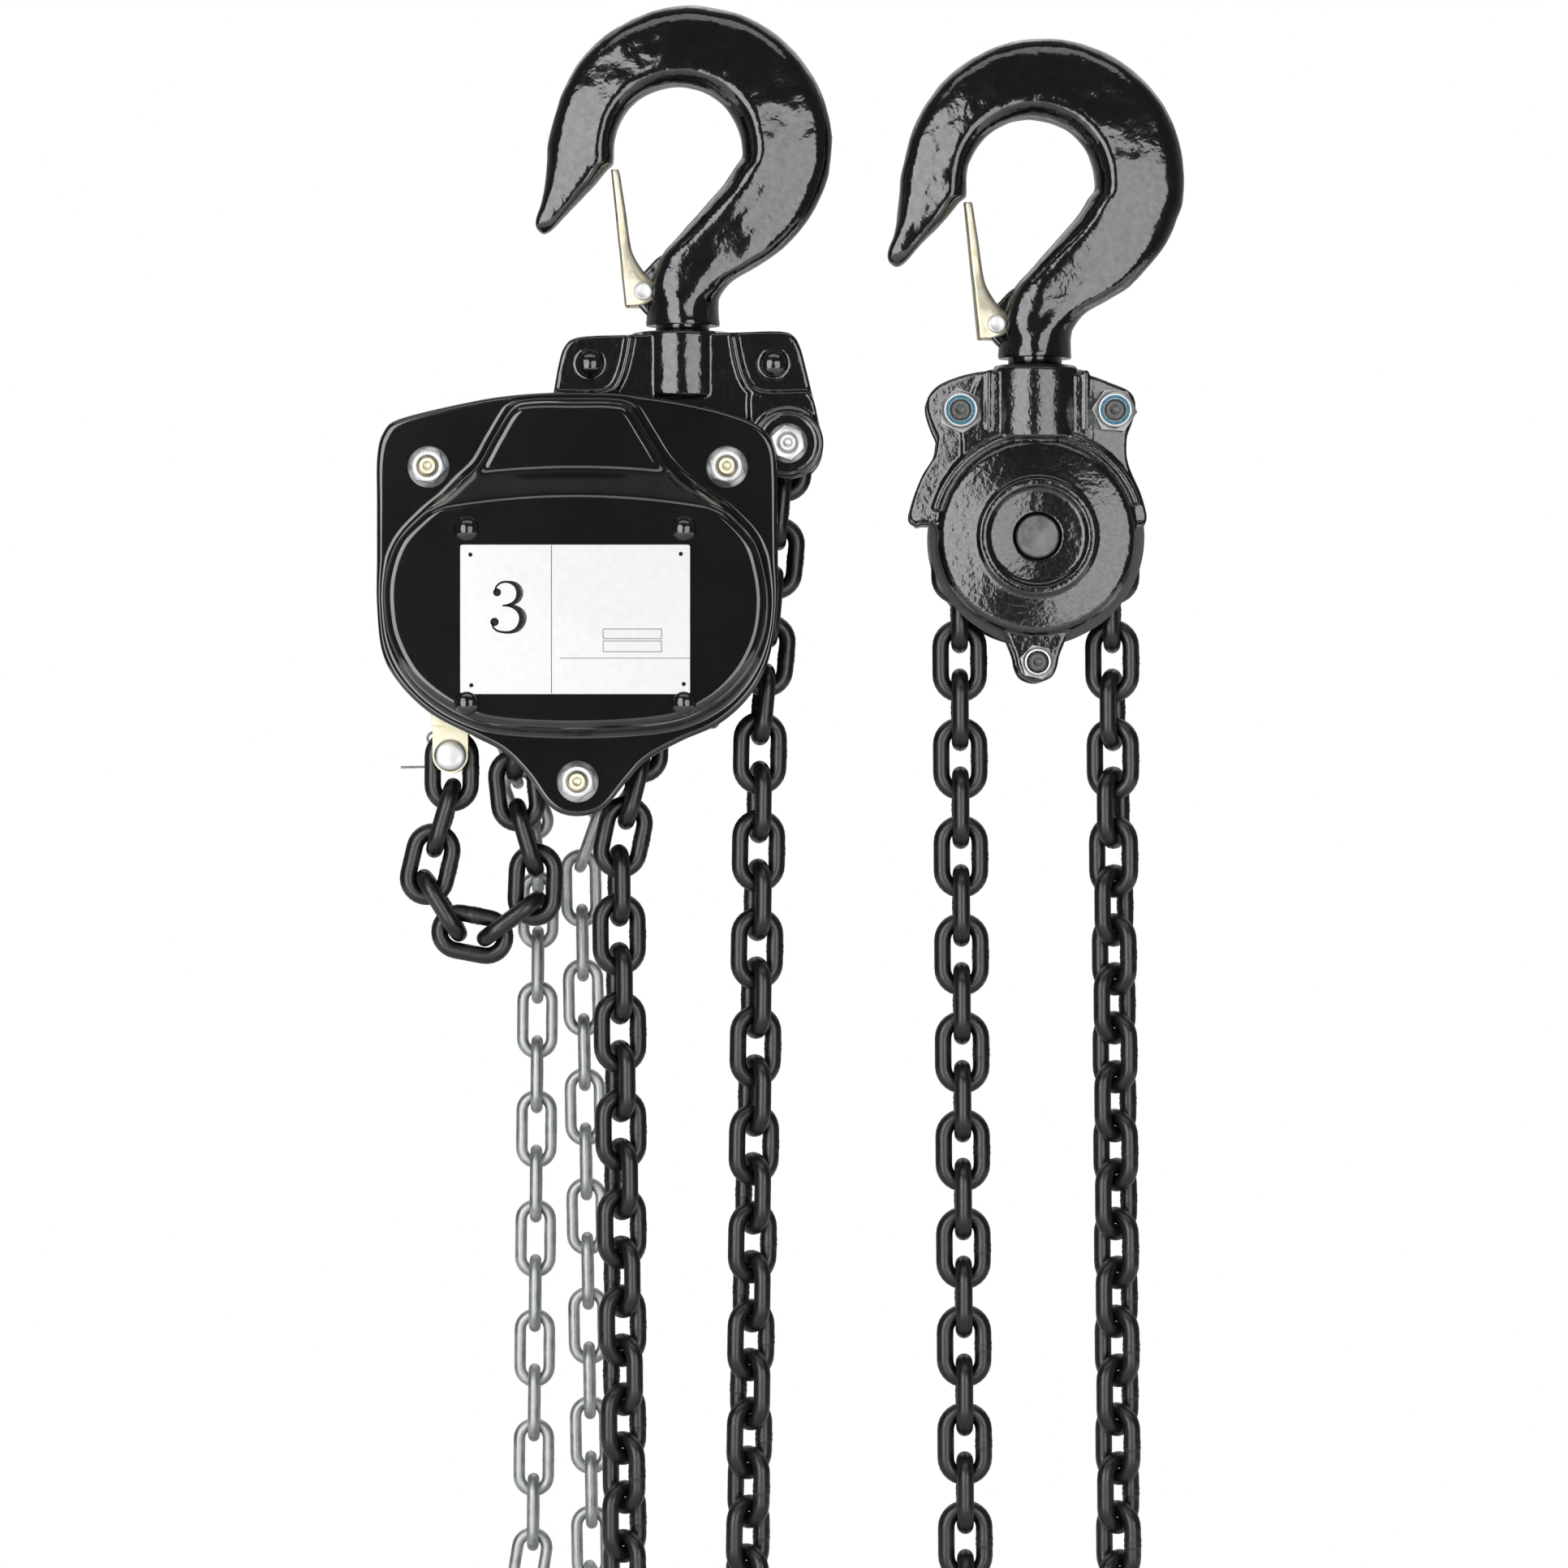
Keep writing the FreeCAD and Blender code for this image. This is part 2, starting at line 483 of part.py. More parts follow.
# side plates, the front one with the bearing holes of the gear train; their edge runs a margin
# outside the suspension, the studs and the roller pins
PLATE_edge = [("0.29 * plate_half_width", "plate_half_height"),
              ("plate_half_width - 0.4 * plate_margin", "stud_z + plate_margin"),
              ("plate_half_width", "stud_z - 0.3 * plate_margin"),
              ("plate_half_width - 0.9 * plate_margin", "0"),
              ("roller_x + 1.2 * plate_margin", "-roller_drop - 2 * plate_margin"),
              ("roller_x - 0.2 * plate_margin", "-roller_drop - 2.5 * plate_margin"),
              ("plate_margin", "-stud_low - 0.9 * plate_margin")]


def side_plate(name, offset, extra):
    body = new_body(name, "axis_x", "", AXIS_z)
    face = new_sketch(body, name + "_outline", "XZ_Plane", offset)
    draw_outline(face, PLATE_edge + [(minus(x), z) for x, z in reversed(PLATE_edge)])
    pad(body, face, "plate_thickness")
    holes = new_sketch(body, name + "_holes", "XZ_Plane", offset)
    draw_circle(holes, "0", "0", "bearing_outer")
    draw_circle(holes, "-lug_x - axis_x", "plate_half_height - plate_eye", "suspension_radius + running_fit")
    for x, z in ((STUD_x, "stud_z"), (minus(STUD_x), "stud_z"), ("0", "-stud_low")):
        draw_circle(holes, x, z, "stud_thread_radius + running_fit")
    for side in ("", "-"):
        draw_circle(holes, side + "roller_x", "-roller_drop", "roller_pin_radius")
    for x, z, radius in extra:
        draw_circle(holes, x, z, radius)
    pocket(body, holes, "plate_thickness", forward=True)
    return body


journal = "disc_journal_radius + running_fit"
node(side_plate("side_plate_front_body", "plate_inner",
                [("gear_centre", "0", journal), ("-gear_centre", "0", journal)]),
     "side_plate_front")
node(side_plate("side_plate_rear_body", "-plate_inner - plate_thickness", []), "side_plate_rear")

# stay studs: shoulders between the plates and out to the cover, threaded ends through the flanges
axis_x, axis_z, stud_x = size("axis_x"), amount(AXIS_z), amount(STUD_x)
inner, outer_face = size("plate_inner"), size("plate_inner") + size("plate_thickness")
flange_face = outer_face + size("cover_wall")
STUD_PLACES = [(axis_x - stud_x, axis_z + size("stud_z")), (axis_x + stud_x, axis_z + size("stud_z")),
               (axis_x, axis_z - size("stud_low"))]
studs, cover_nuts = [], []
for x, z in STUD_PLACES:
    reach = flange_face + size("nut_height") * 1.25
    stud = rod(size("stud_thread_radius"), x, z, -reach, reach)
    studs.append(stud.fuse(rod(size("stud_radius"), x, z, -inner, inner)))
    for side in (-1, 1):
        cover_nuts.append(flange_nut(x, z, side * flange_face, side, size("stud_thread_radius")))
node(coded("stay_stud_set", Part.makeCompound(studs)), "stay_studs")
node(coded("cover_nut_set", Part.makeCompound(cover_nuts)), "cover_nuts")


# gear cover: a smooth flange with an oval bulge and a hood above it, open at the back
def smooth_outline(points, y):
    curve = Part.BSplineCurve()
    curve.interpolate(Points=[Vector(x, y, z) for x, z in points], PeriodicFlag=True)
    return Part.Wire(curve.toShape())


def oval(half_width, half_height, rise, y):
    """Wire of two half circles and two straights, in XZ at y."""
    x = half_width - half_height
    low, high = Vector(x, y, rise - half_height), Vector(x, y, rise + half_height)
    back, out = Vector(-x, y, rise + half_height), Vector(-x, y, rise - half_height)
    right = Part.Arc(low, Vector(half_width, y, rise), high).toShape()
    left = Part.Arc(back, Vector(-half_width, y, rise), out).toShape()
    return Part.Wire([right, Part.makeLine(high, back), left, Part.makeLine(out, low)])


COVER_shares = [(0.0, 1.0), (0.27, 0.985), (0.54, 0.95), (0.82, 0.885), (0.93, 0.83), (0.985, 0.745),
                (1.0, 0.62), (1.0, 0.4), (1.0, 0.2), (0.992, 0.02), (0.96, -0.16), (0.88, -0.34),
                (0.72, -0.49), (0.5, -0.6), (0.37, -0.69), (0.24, -0.82), (0.135, -0.95), (0.0, -1.0)]
HOOD_shares = [(0.5, 1.0), (1.0, 0.66), (1.05, 0.5), (-1.05, 0.5), (-1.0, 0.66), (-0.5, 1.0)]
BULGE_step_shares = [(0.0, 0.0), (0.82, 0.012), (0.93, 0.032), (0.985, 0.062), (1.0, 0.085)]


def cover_form(inset):
    """The cover's solid form, drawn in by inset on every outer face."""
    wide, high = size("bulge_half_width"), size("bulge_half_height")
    seat_y, face = -outer_face, -size("cover_face") + inset
    rise = size("bulge_rise")
    levels = []
    for along, shrink in BULGE_step_shares:
        drawn = inset + shrink * wide
        levels.append(oval(wide - drawn, high - drawn, rise, seat_y + along * (face - seat_y)))
    bulge = Part.makeLoft(levels, True, True)
    half = stud_x - size("nut_flange_radius") - size("hood_nut_gap") - inset
    top = size("hood_top") - inset
    low, hood_y = size("hood_bottom"), -size("hood_face") + inset
    corners = [(sx * half, low + (sz - 0.5) * 2 * (top - low)) for sx, sz in HOOD_shares]
    shrunk = [(x * 0.88, low + (z - low) * 0.9) for x, z in corners]
    wires = [Part.makePolygon([Vector(x, y, z) for x, z in ring + ring[:1]])
             for y, ring in ((seat_y, corners), (hood_y, shrunk))]
    return bulge.fuse(Part.makeLoft(wires, True, True))


half_width, up, down = size("bulge_half_width") + size("cover_lip"), size("cover_up"), size("cover_down")
right_side = [(sx * half_width, sz * (up if sz > 0 else down)) for sx, sz in COVER_shares]
cover_edge = right_side + [(-x, z) for x, z in reversed(right_side[1:-1])]
flange = Part.Face(smooth_outline(cover_edge, -outer_face)).extrude(Vector(0, -size("cover_wall"), 0))
cover = flange.fuse(cover_form(0.0)).cut(cover_form(size("cover_wall")))
for x, z in STUD_PLACES:
    cover = cover.cut(rod(size("stud_thread_radius") + size("running_fit"), x - axis_x, z - axis_z,
                          -size("cover_face"), size("over")))
rivet_places = [(sx * size("cover_rivet_x"), sz * size("cover_rivet_z")) for sx in (-1, 1) for sz in (-1, 1)]
for x, z in rivet_places:
    cover = cover.cut(rod(size("cover_rivet_radius"), x, z, -size("cover_face") - size("over"), -outer_face))
node(coded("gear_cover_shell", cover, axis_x, 0, axis_z), "gear_cover")

# bearing plate inside the cover, held by the four rivets
plate_front = -size("cover_face") + size("cover_wall")
plate_back = plate_front + size("bearing_plate_thickness")
bearing_plate = Part.Face(oval(size("bearing_plate_half_width"), size("bearing_plate_half_height"), 0.0,
                               plate_front)).extrude(Vector(0, size("bearing_plate_thickness"), 0))
for x in (-size("gear_centre"), 0.0, size("gear_centre")):
    bearing_plate = bearing_plate.cut(rod(size("disc_journal_radius") + size("running_fit"), x, 0.0,
                                          plate_front - size("over"), plate_back + size("over")))
for x, z in rivet_places:
    bearing_plate = bearing_plate.cut(rod(size("cover_rivet_radius"), x, z, plate_front - size("over"),
                                          plate_back + size("over")))
node(coded("cover_bearing_solid", bearing_plate, axis_x, 0, axis_z), "cover_bearing_plate")

face = -size("cover_face")
head, tall = size("cover_rivet_head"), size("cover_rivet_head_height")
cover_rivets = []
for x, z in rivet_places:
    dome = Part.makeCone(head, head * 0.5, tall, Vector(x, face, z), Vector(0, -1, 0))
    cover_rivets.append(dome.fuse(rod(size("cover_rivet_radius"), x, z, face, plate_back)))
node(coded("cover_rivet_set", Part.makeCompound(cover_rivets), axis_x, 0, axis_z), "cover_rivets")

# bare plate on the cover with four small pins, notched round the rivet heads
wide, high, thick = size("rating_width"), size("rating_height"), size("rating_thickness")
rating = prism([(-wide / 2, -high / 2 - size("rating_drop")), (wide / 2, -high / 2 - size("rating_drop")),
                (wide / 2, high / 2 - size("rating_drop")), (-wide / 2, high / 2 - size("rating_drop"))],
               face - thick, face)
for x, z in rivet_places:
    rating = rating.cut(rod(head + size("seat_gap"), x, z, face - size("over"), face + size("over")))
pins = [rod(size("rating_pin_radius"), sx * (wide / 2 - size("rating_pin_inset_x")),
            sz * (high / 2 - size("rating_pin_inset_z")) - size("rating_drop"), face - thick * 2, face)
        for sx in (-1, 1) for sz in (-1, 1)]
rating = rating.fuse(pins)
node(coded("rating_plate_solid", rating, axis_x, 0, axis_z), "rating_plate")

# wheel cover: flange on the rear plate, drum round the hand wheel, its mouth open below
drum, wall, back = size("drum_radius"), size("drum_wall"), size("drum_back")
rear_edge = [(x * 0.97, z * 0.97) for x, z in cover_edge]
wheel_cover = Part.Face(smooth_outline(rear_edge, outer_face)).extrude(Vector(0, size("cover_wall"), 0))
wheel_cover = wheel_cover.cut(rod(drum - wall * 3, 0, 0, 0, back))
shell = rod(drum, 0, 0, outer_face, back).cut(rod(drum - wall, 0, 0, 0, back - wall))
mouth = size("drum_mouth")
opening = Part.makeBox(drum * 2, back, drum, Vector(-drum, flange_face, -drum - mouth))
wheel_cover = wheel_cover.fuse(shell.cut(opening))
for x, z in STUD_PLACES:
    wheel_cover = wheel_cover.cut(rod(size("stud_thread_radius") + size("running_fit"), x - axis_x,
                                      z - axis_z, 0, back / 2))
node(coded("wheel_cover_shell", wheel_cover, axis_x, 0, axis_z), "wheel_cover")


# a chain's links touch where their end bends cross; a bend in the chain draws the joints together
# and lets the links that stand in the plane of the bend ride outside those that lie across it
SHARPEST_bend = 75
LOAD_CHAIN = ("chain_wire", "chain_pitch", "chain_inner_width", "chain_play")
HAND_CHAIN = ("hand_wire", "hand_pitch", "hand_inner_width", "hand_play")


def overrun(chain, bend):
    """How far a link's end reaches past its joint where the chain bends by an angle, to its sharpest."""
    return (size(chain[0]) + size(chain[3])) / (1 + math.cos(min(bend, math.radians(SHARPEST_bend))))


def chain_seat(chain, links):
    """Radius of the joints on a chain wheel, and of the lying and the standing links' middles."""
    bend = 2 * math.pi / links
    reach = overrun(chain, bend)
    step = size(chain[1]) + size(chain[0]) - 2 * reach
    ring = step / (2 * math.sin(bend / 2))
    ride = reach * math.sin(bend) * math.cos(bend / 2) / 2
    flat = ring * math.cos(bend / 2)
    return ring, flat - ride, flat + ride


def link_half_width(chain):
    return size(chain[0]) + size(chain[2]) / 2


def groove_floor(chain, links):
    return chain_seat(chain, links)[2] - link_half_width(chain) - 2 * size("seat_gap")


def cut_pockets(wheel, chain, links, centre_y=0.0, phase=0.0):
    """Pockets round a wheel for the chain's lying links."""
    clearance = size("seat_gap")
    ring, lying, _ = chain_seat(chain, links)
    floor = lying - size(chain[0]) / 2 - clearance
    half_long = size(chain[1]) / 2 + size(chain[0]) + clearance
    half_wide = link_half_width(chain) + clearance
    x = half_long - half_wide
    corners = [Vector(-x, centre_y - half_wide, floor), Vector(x, centre_y - half_wide, floor),
               Vector(x, centre_y + half_wide, floor), Vector(-x, centre_y + half_wide, floor)]
    right = Part.Arc(corners[1], Vector(half_long, centre_y, floor), corners[2]).toShape()
    left = Part.Arc(corners[3], Vector(-half_long, centre_y, floor), corners[0]).toShape()
    loop = Part.Wire([Part.makeLine(corners[0], corners[1]), right,
                      Part.makeLine(corners[2], corners[3]), left])
    cutter = Part.Face(loop).extrude(Vector(0, 0, ring))
    for i in range(links // 2):
        placed = cutter.copy()
        placed.rotate(Vector(), Vector(0, 1, 0), 720 / links * i + phase)
        wheel = wheel.cut(placed)
    return wheel


def revolve(profile):
    """Solid of revolution about Y from (radius, y) pairs."""
    points = [Vector(r, y, 0) for r, y in profile + profile[:1]]
    return Part.Face(Part.makePolygon(points)).revolve(Vector(), Vector(0, 1, 0), 360)


sheave_links, block_links, wheel_links = (int(size(n)) for n in ("sheave_links", "block_links", "wheel_links"))
rim, body_r, half = size("sheave_flange_radius"), size("sheave_body_radius"), size("sheave_half_width")
pocket_half, groove = size("sheave_pocket_half"), size("groove_half")
floor = groove_floor(LOAD_CHAIN, sheave_links)
bore, journal_r, spigot = size("sheave_bore"), size("journal_radius"), size("spigot_radius")
fit, gap = size("running_fit"), size("seat_gap")
sheave = revolve([(bore, -size("spigot_end")), (spigot, -size("spigot_end")), (spigot, -outer_face),
                  (journal_r, -outer_face), (journal_r, -half), (rim, -half), (rim, -half * 0.82),
                  (body_r, -pocket_half), (body_r, -groove), (floor, -groove), (floor, groove),
                  (body_r, groove), (body_r, pocket_half), (rim, half * 0.82), (rim, half),
                  (journal_r, half), (journal_r, outer_face), (bore, outer_face)])
sheave = cut_pockets(sheave, LOAD_CHAIN, sheave_links, phase=-180 / sheave_links)
node(coded("load_sheave_solid", sheave, axis_x, 0, axis_z), "load_sheave")
bearings = [rod(size("bearing_outer"), 0, 0, *ends).cut(rod(journal_r + fit, 0, 0, -back, back))
            for ends in ((-outer_face, -inner), (inner, outer_face))]
node(coded("sheave_bearing_pair", Part.makeCompound(bearings), axis_x, 0, axis_z), "sheave_bearings")


# gears: stub teeth on an involute, thinned by the backlash
def gear_outline(teeth, module, first):
    pressure = math.radians(size("pressure_angle"))
    pitch_r = module * teeth / 2
    base, tip, root = pitch_r * math.cos(pressure), pitch_r + 0.8 * module, pitch_r - 1.05 * module
    half_pitch = math.pi / (2 * teeth) - size("gear_backlash") / (2 * pitch_r)
    involute = math.tan(pressure) - pressure
    points = []
    for tooth in range(teeth):
        middle = 2 * math.pi * tooth / teeth + math.radians(first)
        flank = []
        for radius in (root, max(base, root * 1.01), pitch_r, tip):
            slope = math.acos(min(1.0, base / radius))
            flank.append((radius, half_pitch + involute - (math.tan(slope) - slope)))
        for radius, half_angle in flank:
            points.append((radius * math.cos(middle - half_angle), radius * math.sin(middle - half_angle)))
        for radius, half_angle in reversed(flank):
            points.append((radius * math.cos(middle + half_angle), radius * math.sin(middle + half_angle)))
    return points


fine, coarse = size("fine_module"), size("coarse_module")
centre = size("gear_centre")
disc_teeth, second_teeth, load_teeth = (int(size(n)) for n in ("disc_teeth", "second_teeth", "load_teeth"))
pinion_teeth = int(size("pinion_teeth"))
disc_y = (-size("disc_front"), -size("disc_front") + size("disc_width"))
second_y = (-size("second_front"), -size("second_front") + size("second_width"))
load_y = (-size("load_gear_front"), -size("load_gear_front") + size("load_gear_width"))
half_step = 180 / disc_teeth
for side, name in ((-1, "left"), (1, "right")):
    start = half_step if side > 0 else half_step + (180 if disc_teeth % 2 else 0)
    face_on = 180 if side > 0 else 0
    disc = prism(gear_outline(disc_teeth, fine, face_on + half_step), *disc_y)
    disc = disc.cut(rod(size("disc_journal_radius") * 1.5, 0, 0, *disc_y))
    node(coded("disc_gear_" + name + "_solid", disc, axis_x + side * centre, 0, axis_z),
         "disc_gear_" + name)
    teeth_part = prism(gear_outline(second_teeth, coarse, face_on + 180 / second_teeth), *second_y)
    stem_r = size("disc_journal_radius")
    stem = rod(stem_r, 0, 0, plate_front, -inner).fuse(rod(stem_r * 1.5, 0, 0, disc_y[0], second_y[0]))
    node(coded("second_pinion_" + name + "_solid", teeth_part.fuse(stem), axis_x + side * centre, 0, axis_z),
         "second_pinion_" + name)
load_gear = prism(gear_outline(load_teeth, coarse, 0.0), *load_y).cut(rod(spigot, 0, 0, *load_y))
node(coded("load_gear_solid", load_gear, axis_x, 0, axis_z), "load_gear")
shaft_r = size("shaft_radius")
pinion_y = (disc_y[0] - 0.15 * size("disc_width"), disc_y[1] + 0.15 * size("disc_width"))
shaft = prism(gear_outline(pinion_teeth, fine, 0.0), *pinion_y)
shaft = shaft.fuse([rod(size("disc_journal_radius"), 0, 0, plate_front, pinion_y[0]),
                    rod(shaft_r, 0, 0, pinion_y[1], size("brake_start")),
                    rod(size("shaft_thread_radius"), 0, 0, size("brake_start"), size("shaft_back"))])
node(coded("pinion_shaft_solid", shaft, axis_x, 0, axis_z), "pinion_shaft")

# load brake: hub, two friction discs and the ratchet disc between them, then the hand wheel
thread, sleeve = size("shaft_thread_radius"), size("sleeve_radius")
y0 = size("brake_start")
y1 = y0 + size("brake_flange_width")
y2 = y1 + size("lining_width") + gap / 2
y3 = y2 + size("ratchet_width")
y4 = y3 + size("lining_width") + gap / 2
node(turned("brake_hub_body",
            [("shaft_thread_radius", "brake_start"), ("brake_flange_radius", "brake_start"),
             ("brake_flange_radius", "brake_start + brake_flange_width"),
             ("sleeve_radius", "brake_start + brake_flange_width"),
             ("sleeve_radius", "brake_start + brake_flange_width + 2 * lining_width + ratchet_width + seat_gap"),
             ("shaft_thread_radius",
              "brake_start + brake_flange_width + 2 * lining_width + ratchet_width + seat_gap")],
            "axis_x", AXIS_z), "brake_hub")
linings = [rod(size("lining_radius"), 0, 0, a, a + size("lining_width")).cut(rod(sleeve, 0, 0, a, y4))
           for a in (y1, y3 + gap / 2)]
node(coded("friction_disc_pair", Part.makeCompound(linings), axis_x, 0, axis_z), "friction_discs")
ratchet_teeth, tip_r, root_r = int(size("ratchet_teeth")), size("ratchet_radius"), size("ratchet_root")
nose_angle = size("pawl_pin_angle") + size("pawl_reach_angle")
points = []
for i in range(ratchet_teeth):
    at = math.radians(nose_angle + 1 + 360 * i / ratchet_teeth)
    step = 2 * math.pi / ratchet_teeth
    points += [(root_r * math.cos(at), root_r * math.sin(at)), (tip_r * math.cos(at), tip_r * math.sin(at))]
    for share in (0.15, 0.6):
        radius = tip_r + (root_r - tip_r) * share
        points.append((radius * math.cos(at + step * share), radius * math.sin(at + step * share)))
ratchet = prism(points, y2, y3).cut(rod(sleeve + fit, 0, 0, y1, y4))
node(coded("ratchet_disc_solid", ratchet, axis_x, 0, axis_z), "ratchet_disc")


def pawl_shape():
    """Pawl drawn about its own pin, its nose in the root of a tooth."""
    distance, eye = size("pawl_pin_distance"), size("pawl_eye_radius")
    reach = math.radians(size("pawl_reach_angle"))
    nose_r = root_r + gap * 1.5
    nose = (nose_r * math.cos(reach) - distance, nose_r * math.sin(reach))
    outer = ((tip_r + root_r / 12) * math.cos(reach) - distance, (tip_r + root_r / 12) * math.sin(reach))
    long = math.hypot(*nose)
    along = (nose[0] / long, nose[1] / long)
    across = (along[1], -along[0])
    corners = [nose, outer, (across[0] * eye * 0.9, across[1] * eye * 0.9), (0.0, 0.0),
               (-across[0] * eye * 0.62, -across[1] * eye * 0.62)]
    arm = prism(corners, y2 + gap / 2, y3 - gap / 2)
    pivot = rod(eye, 0, 0, y2 + gap / 2, y3 - gap / 2)
    return arm.fuse(pivot).cut(rod(size("pawl_pin_radius") + fit, 0, 0, 0, y4 * 2))


pawl_pins = []
for i, turn in enumerate((size("pawl_pin_angle"), size("pawl_pin_angle") + 180)):
    x = axis_x + size("pawl_pin_distance") * math.cos(math.radians(turn))
    z = axis_z + size("pawl_pin_distance") * math.sin(math.radians(turn))
    node(coded(f"pawl_{i + 1}_solid", pawl_shape(), x, 0, z, Rotation(Vector(0, -1, 0), turn)),
         f"pawl_{i + 1}")
    shoulder = rod(size("pawl_pin_radius") * 1.5, x, z, flange_face, y2 - gap / 2)
    pawl_pins.append(rod(size("pawl_pin_radius"), x, z, outer_face, y4 + size("lining_width")).fuse(shoulder))
    wire = size("pawl_spring_wire")
    radius = size("pawl_pin_radius") + wire
    middle = Vector(0, y3 + wire, 0)
    coil = coil_edges(middle, radius, wire * 1.15, 8, 180)
    begin = middle + Vector(-radius, 0, 0)
    leg = Part.makeLine(begin + Vector(0, 0, size("pawl_eye_radius") * 1.6), begin)
    node(coded(f"pawl_spring_{i + 1}_wire", wire_form([leg] + coil, wire), x, 0, z,
               Rotation(Vector(0, -1, 0), turn)), f"pawl_spring_{i + 1}")
node(coded("pawl_pin_pair", Part.makeCompound(pawl_pins)), "pawl_pins")

mid, half = size("wheel_centre"), size("wheel_half_width")
rim, body_r = size("wheel_rim_radius"), size("wheel_body_radius")
groove, pocket_half = size("wheel_groove_half"), size("wheel_pocket_half")
floor = groove_floor(HAND_CHAIN, wheel_links)
hub, web, hollow = size("wheel_hub_radius"), size("wheel_web"), size("wheel_inner_rim")
wheel = revolve([(thread, y4), (hub, y4), (hub, mid - web / 2), (hollow, mid - web / 2), (hollow, mid - half),
                 (rim, mid - half), (rim, mid - half * 0.9), (body_r, mid - pocket_half),
                 (body_r, mid - groove), (floor, mid - groove), (floor, mid + groove),
                 (body_r, mid + groove), (body_r, mid + pocket_half), (rim, mid + half * 0.9),
                 (rim, mid + half), (hollow, mid + half), (hollow, mid + web / 2), (hub, mid + web / 2),
                 (hub, mid + half), (thread, mid + half)])
wheel = cut_pockets(wheel, HAND_CHAIN, wheel_links, centre_y=mid)
node(coded("hand_wheel_solid", wheel, axis_x, 0, axis_z), "hand_wheel")
nut_end = mid + half + size("wheel_nut_height")
wheel_nut = hexagon(size("wheel_nut_across"), 0, 0, mid + half, nut_end).cut(rod(thread, 0, 0, y0, nut_end))
node(coded("wheel_nut_solid", wheel_nut, axis_x, 0, axis_z), "wheel_nut")

# guide rollers on pins, and the stripper on the bottom stud
for side, name in (("-", "left"), ("+", "right")):
    solid = pin(f"roller_{name}_solid", "roller_radius", "-plate_inner + seat_gap",
                "2 * plate_inner - 2 * seat_gap", f"axis_x {side} roller_x", AXIS_z + " - roller_drop")
    hole = pin(f"roller_{name}_hole", "roller_pin_radius + running_fit", "-plate_inner - over",
               "2 * plate_inner + 2 * over", f"axis_x {side} roller_x", AXIS_z + " - roller_drop")
    node(cut(f"roller_{name}", solid, hole), "guide_roller_" + name)
roller_pins = [rod(size("roller_pin_radius"), axis_x + side * size("roller_x"),
                   axis_z - size("roller_drop"), -outer_face, outer_face) for side in (-1, 1)]
node(coded("roller_pin_pair", Part.makeCompound(roller_pins)), "guide_roller_pins")
stripper = new_body("stripper_body", "axis_x", "", AXIS_z)
blade = new_sketch(stripper, "stripper_outline", "XZ_Plane")
draw_outline(blade, [("-stripper_half_width", "-stud_low - 2 * stud_radius"),
                     ("stripper_half_width", "-stud_low - 2 * stud_radius"),
                     ("stripper_half_width", "-stripper_top - stripper_half_width"),
                     ("0.4 * stripper_half_width", "-stripper_top"),
                     ("-0.4 * stripper_half_width", "-stripper_top"),
                     ("-stripper_half_width", "-stripper_top - stripper_half_width")])
draw_circle(blade, "0", "-stud_low", "stud_radius")
pad(stripper, blade, "2 * stripper_half", both_ways=True)
node(stripper, "chain_stripper")

# bracket and pin that hold the tail of the load chain
tail_x, tail_z = axis_x + size("tail_x"), axis_z - size("tail_drop")
tail_top, strap, cheek = axis_z - size("tail_top_drop"), size("tail_strap"), size("tail_cheek_gap")
side = size("tail_half_width")
low = tail_z - side
bracket = Part.makeBox(side * 2, inner * 2, strap, Vector(tail_x - side, -inner, tail_top - strap))
for sign in (-1, 1):
    ends = sorted((sign * cheek, sign * (cheek + strap)))
    bracket = bracket.fuse(Part.makeBox(side * 2, strap, tail_top - low - side,
                                        Vector(tail_x - side, ends[0], low + side)))
    bracket = bracket.fuse(rod(side, tail_x, tail_z, *ends))
    ends = sorted((sign * inner, sign * (inner - strap)))
    bracket = bracket.fuse(Part.makeBox(side * 4, strap, side * 2,
                                        Vector(tail_x - side, ends[0], tail_top - strap)))
bracket = bracket.cut(rod(size("tail_pin_radius") + fit, tail_x, tail_z, -inner, inner))
node(coded("tail_bracket_solid", bracket), "tail_bracket")
pin_end = cheek + strap + gap
tail_head = size("tail_pin_head")
tail = rod(size("tail_pin_radius"), tail_x, tail_z, -pin_end - strap * 2, pin_end)
tail = tail.fuse(rod(tail_head, tail_x, tail_z, pin_end, pin_end + strap))
tail = tail.fuse(rod(tail_head, tail_x, tail_z, -pin_end - strap * 0.6, -pin_end))
split_pin = Part.makeCylinder(strap / 3, tail_head * 4,
                              Vector(tail_x - tail_head * 2.4, -pin_end - strap * 1.3, tail_z), Vector(1, 0, 0))
node(coded("tail_pin_set", tail.fuse(split_pin)), "tail_pin")

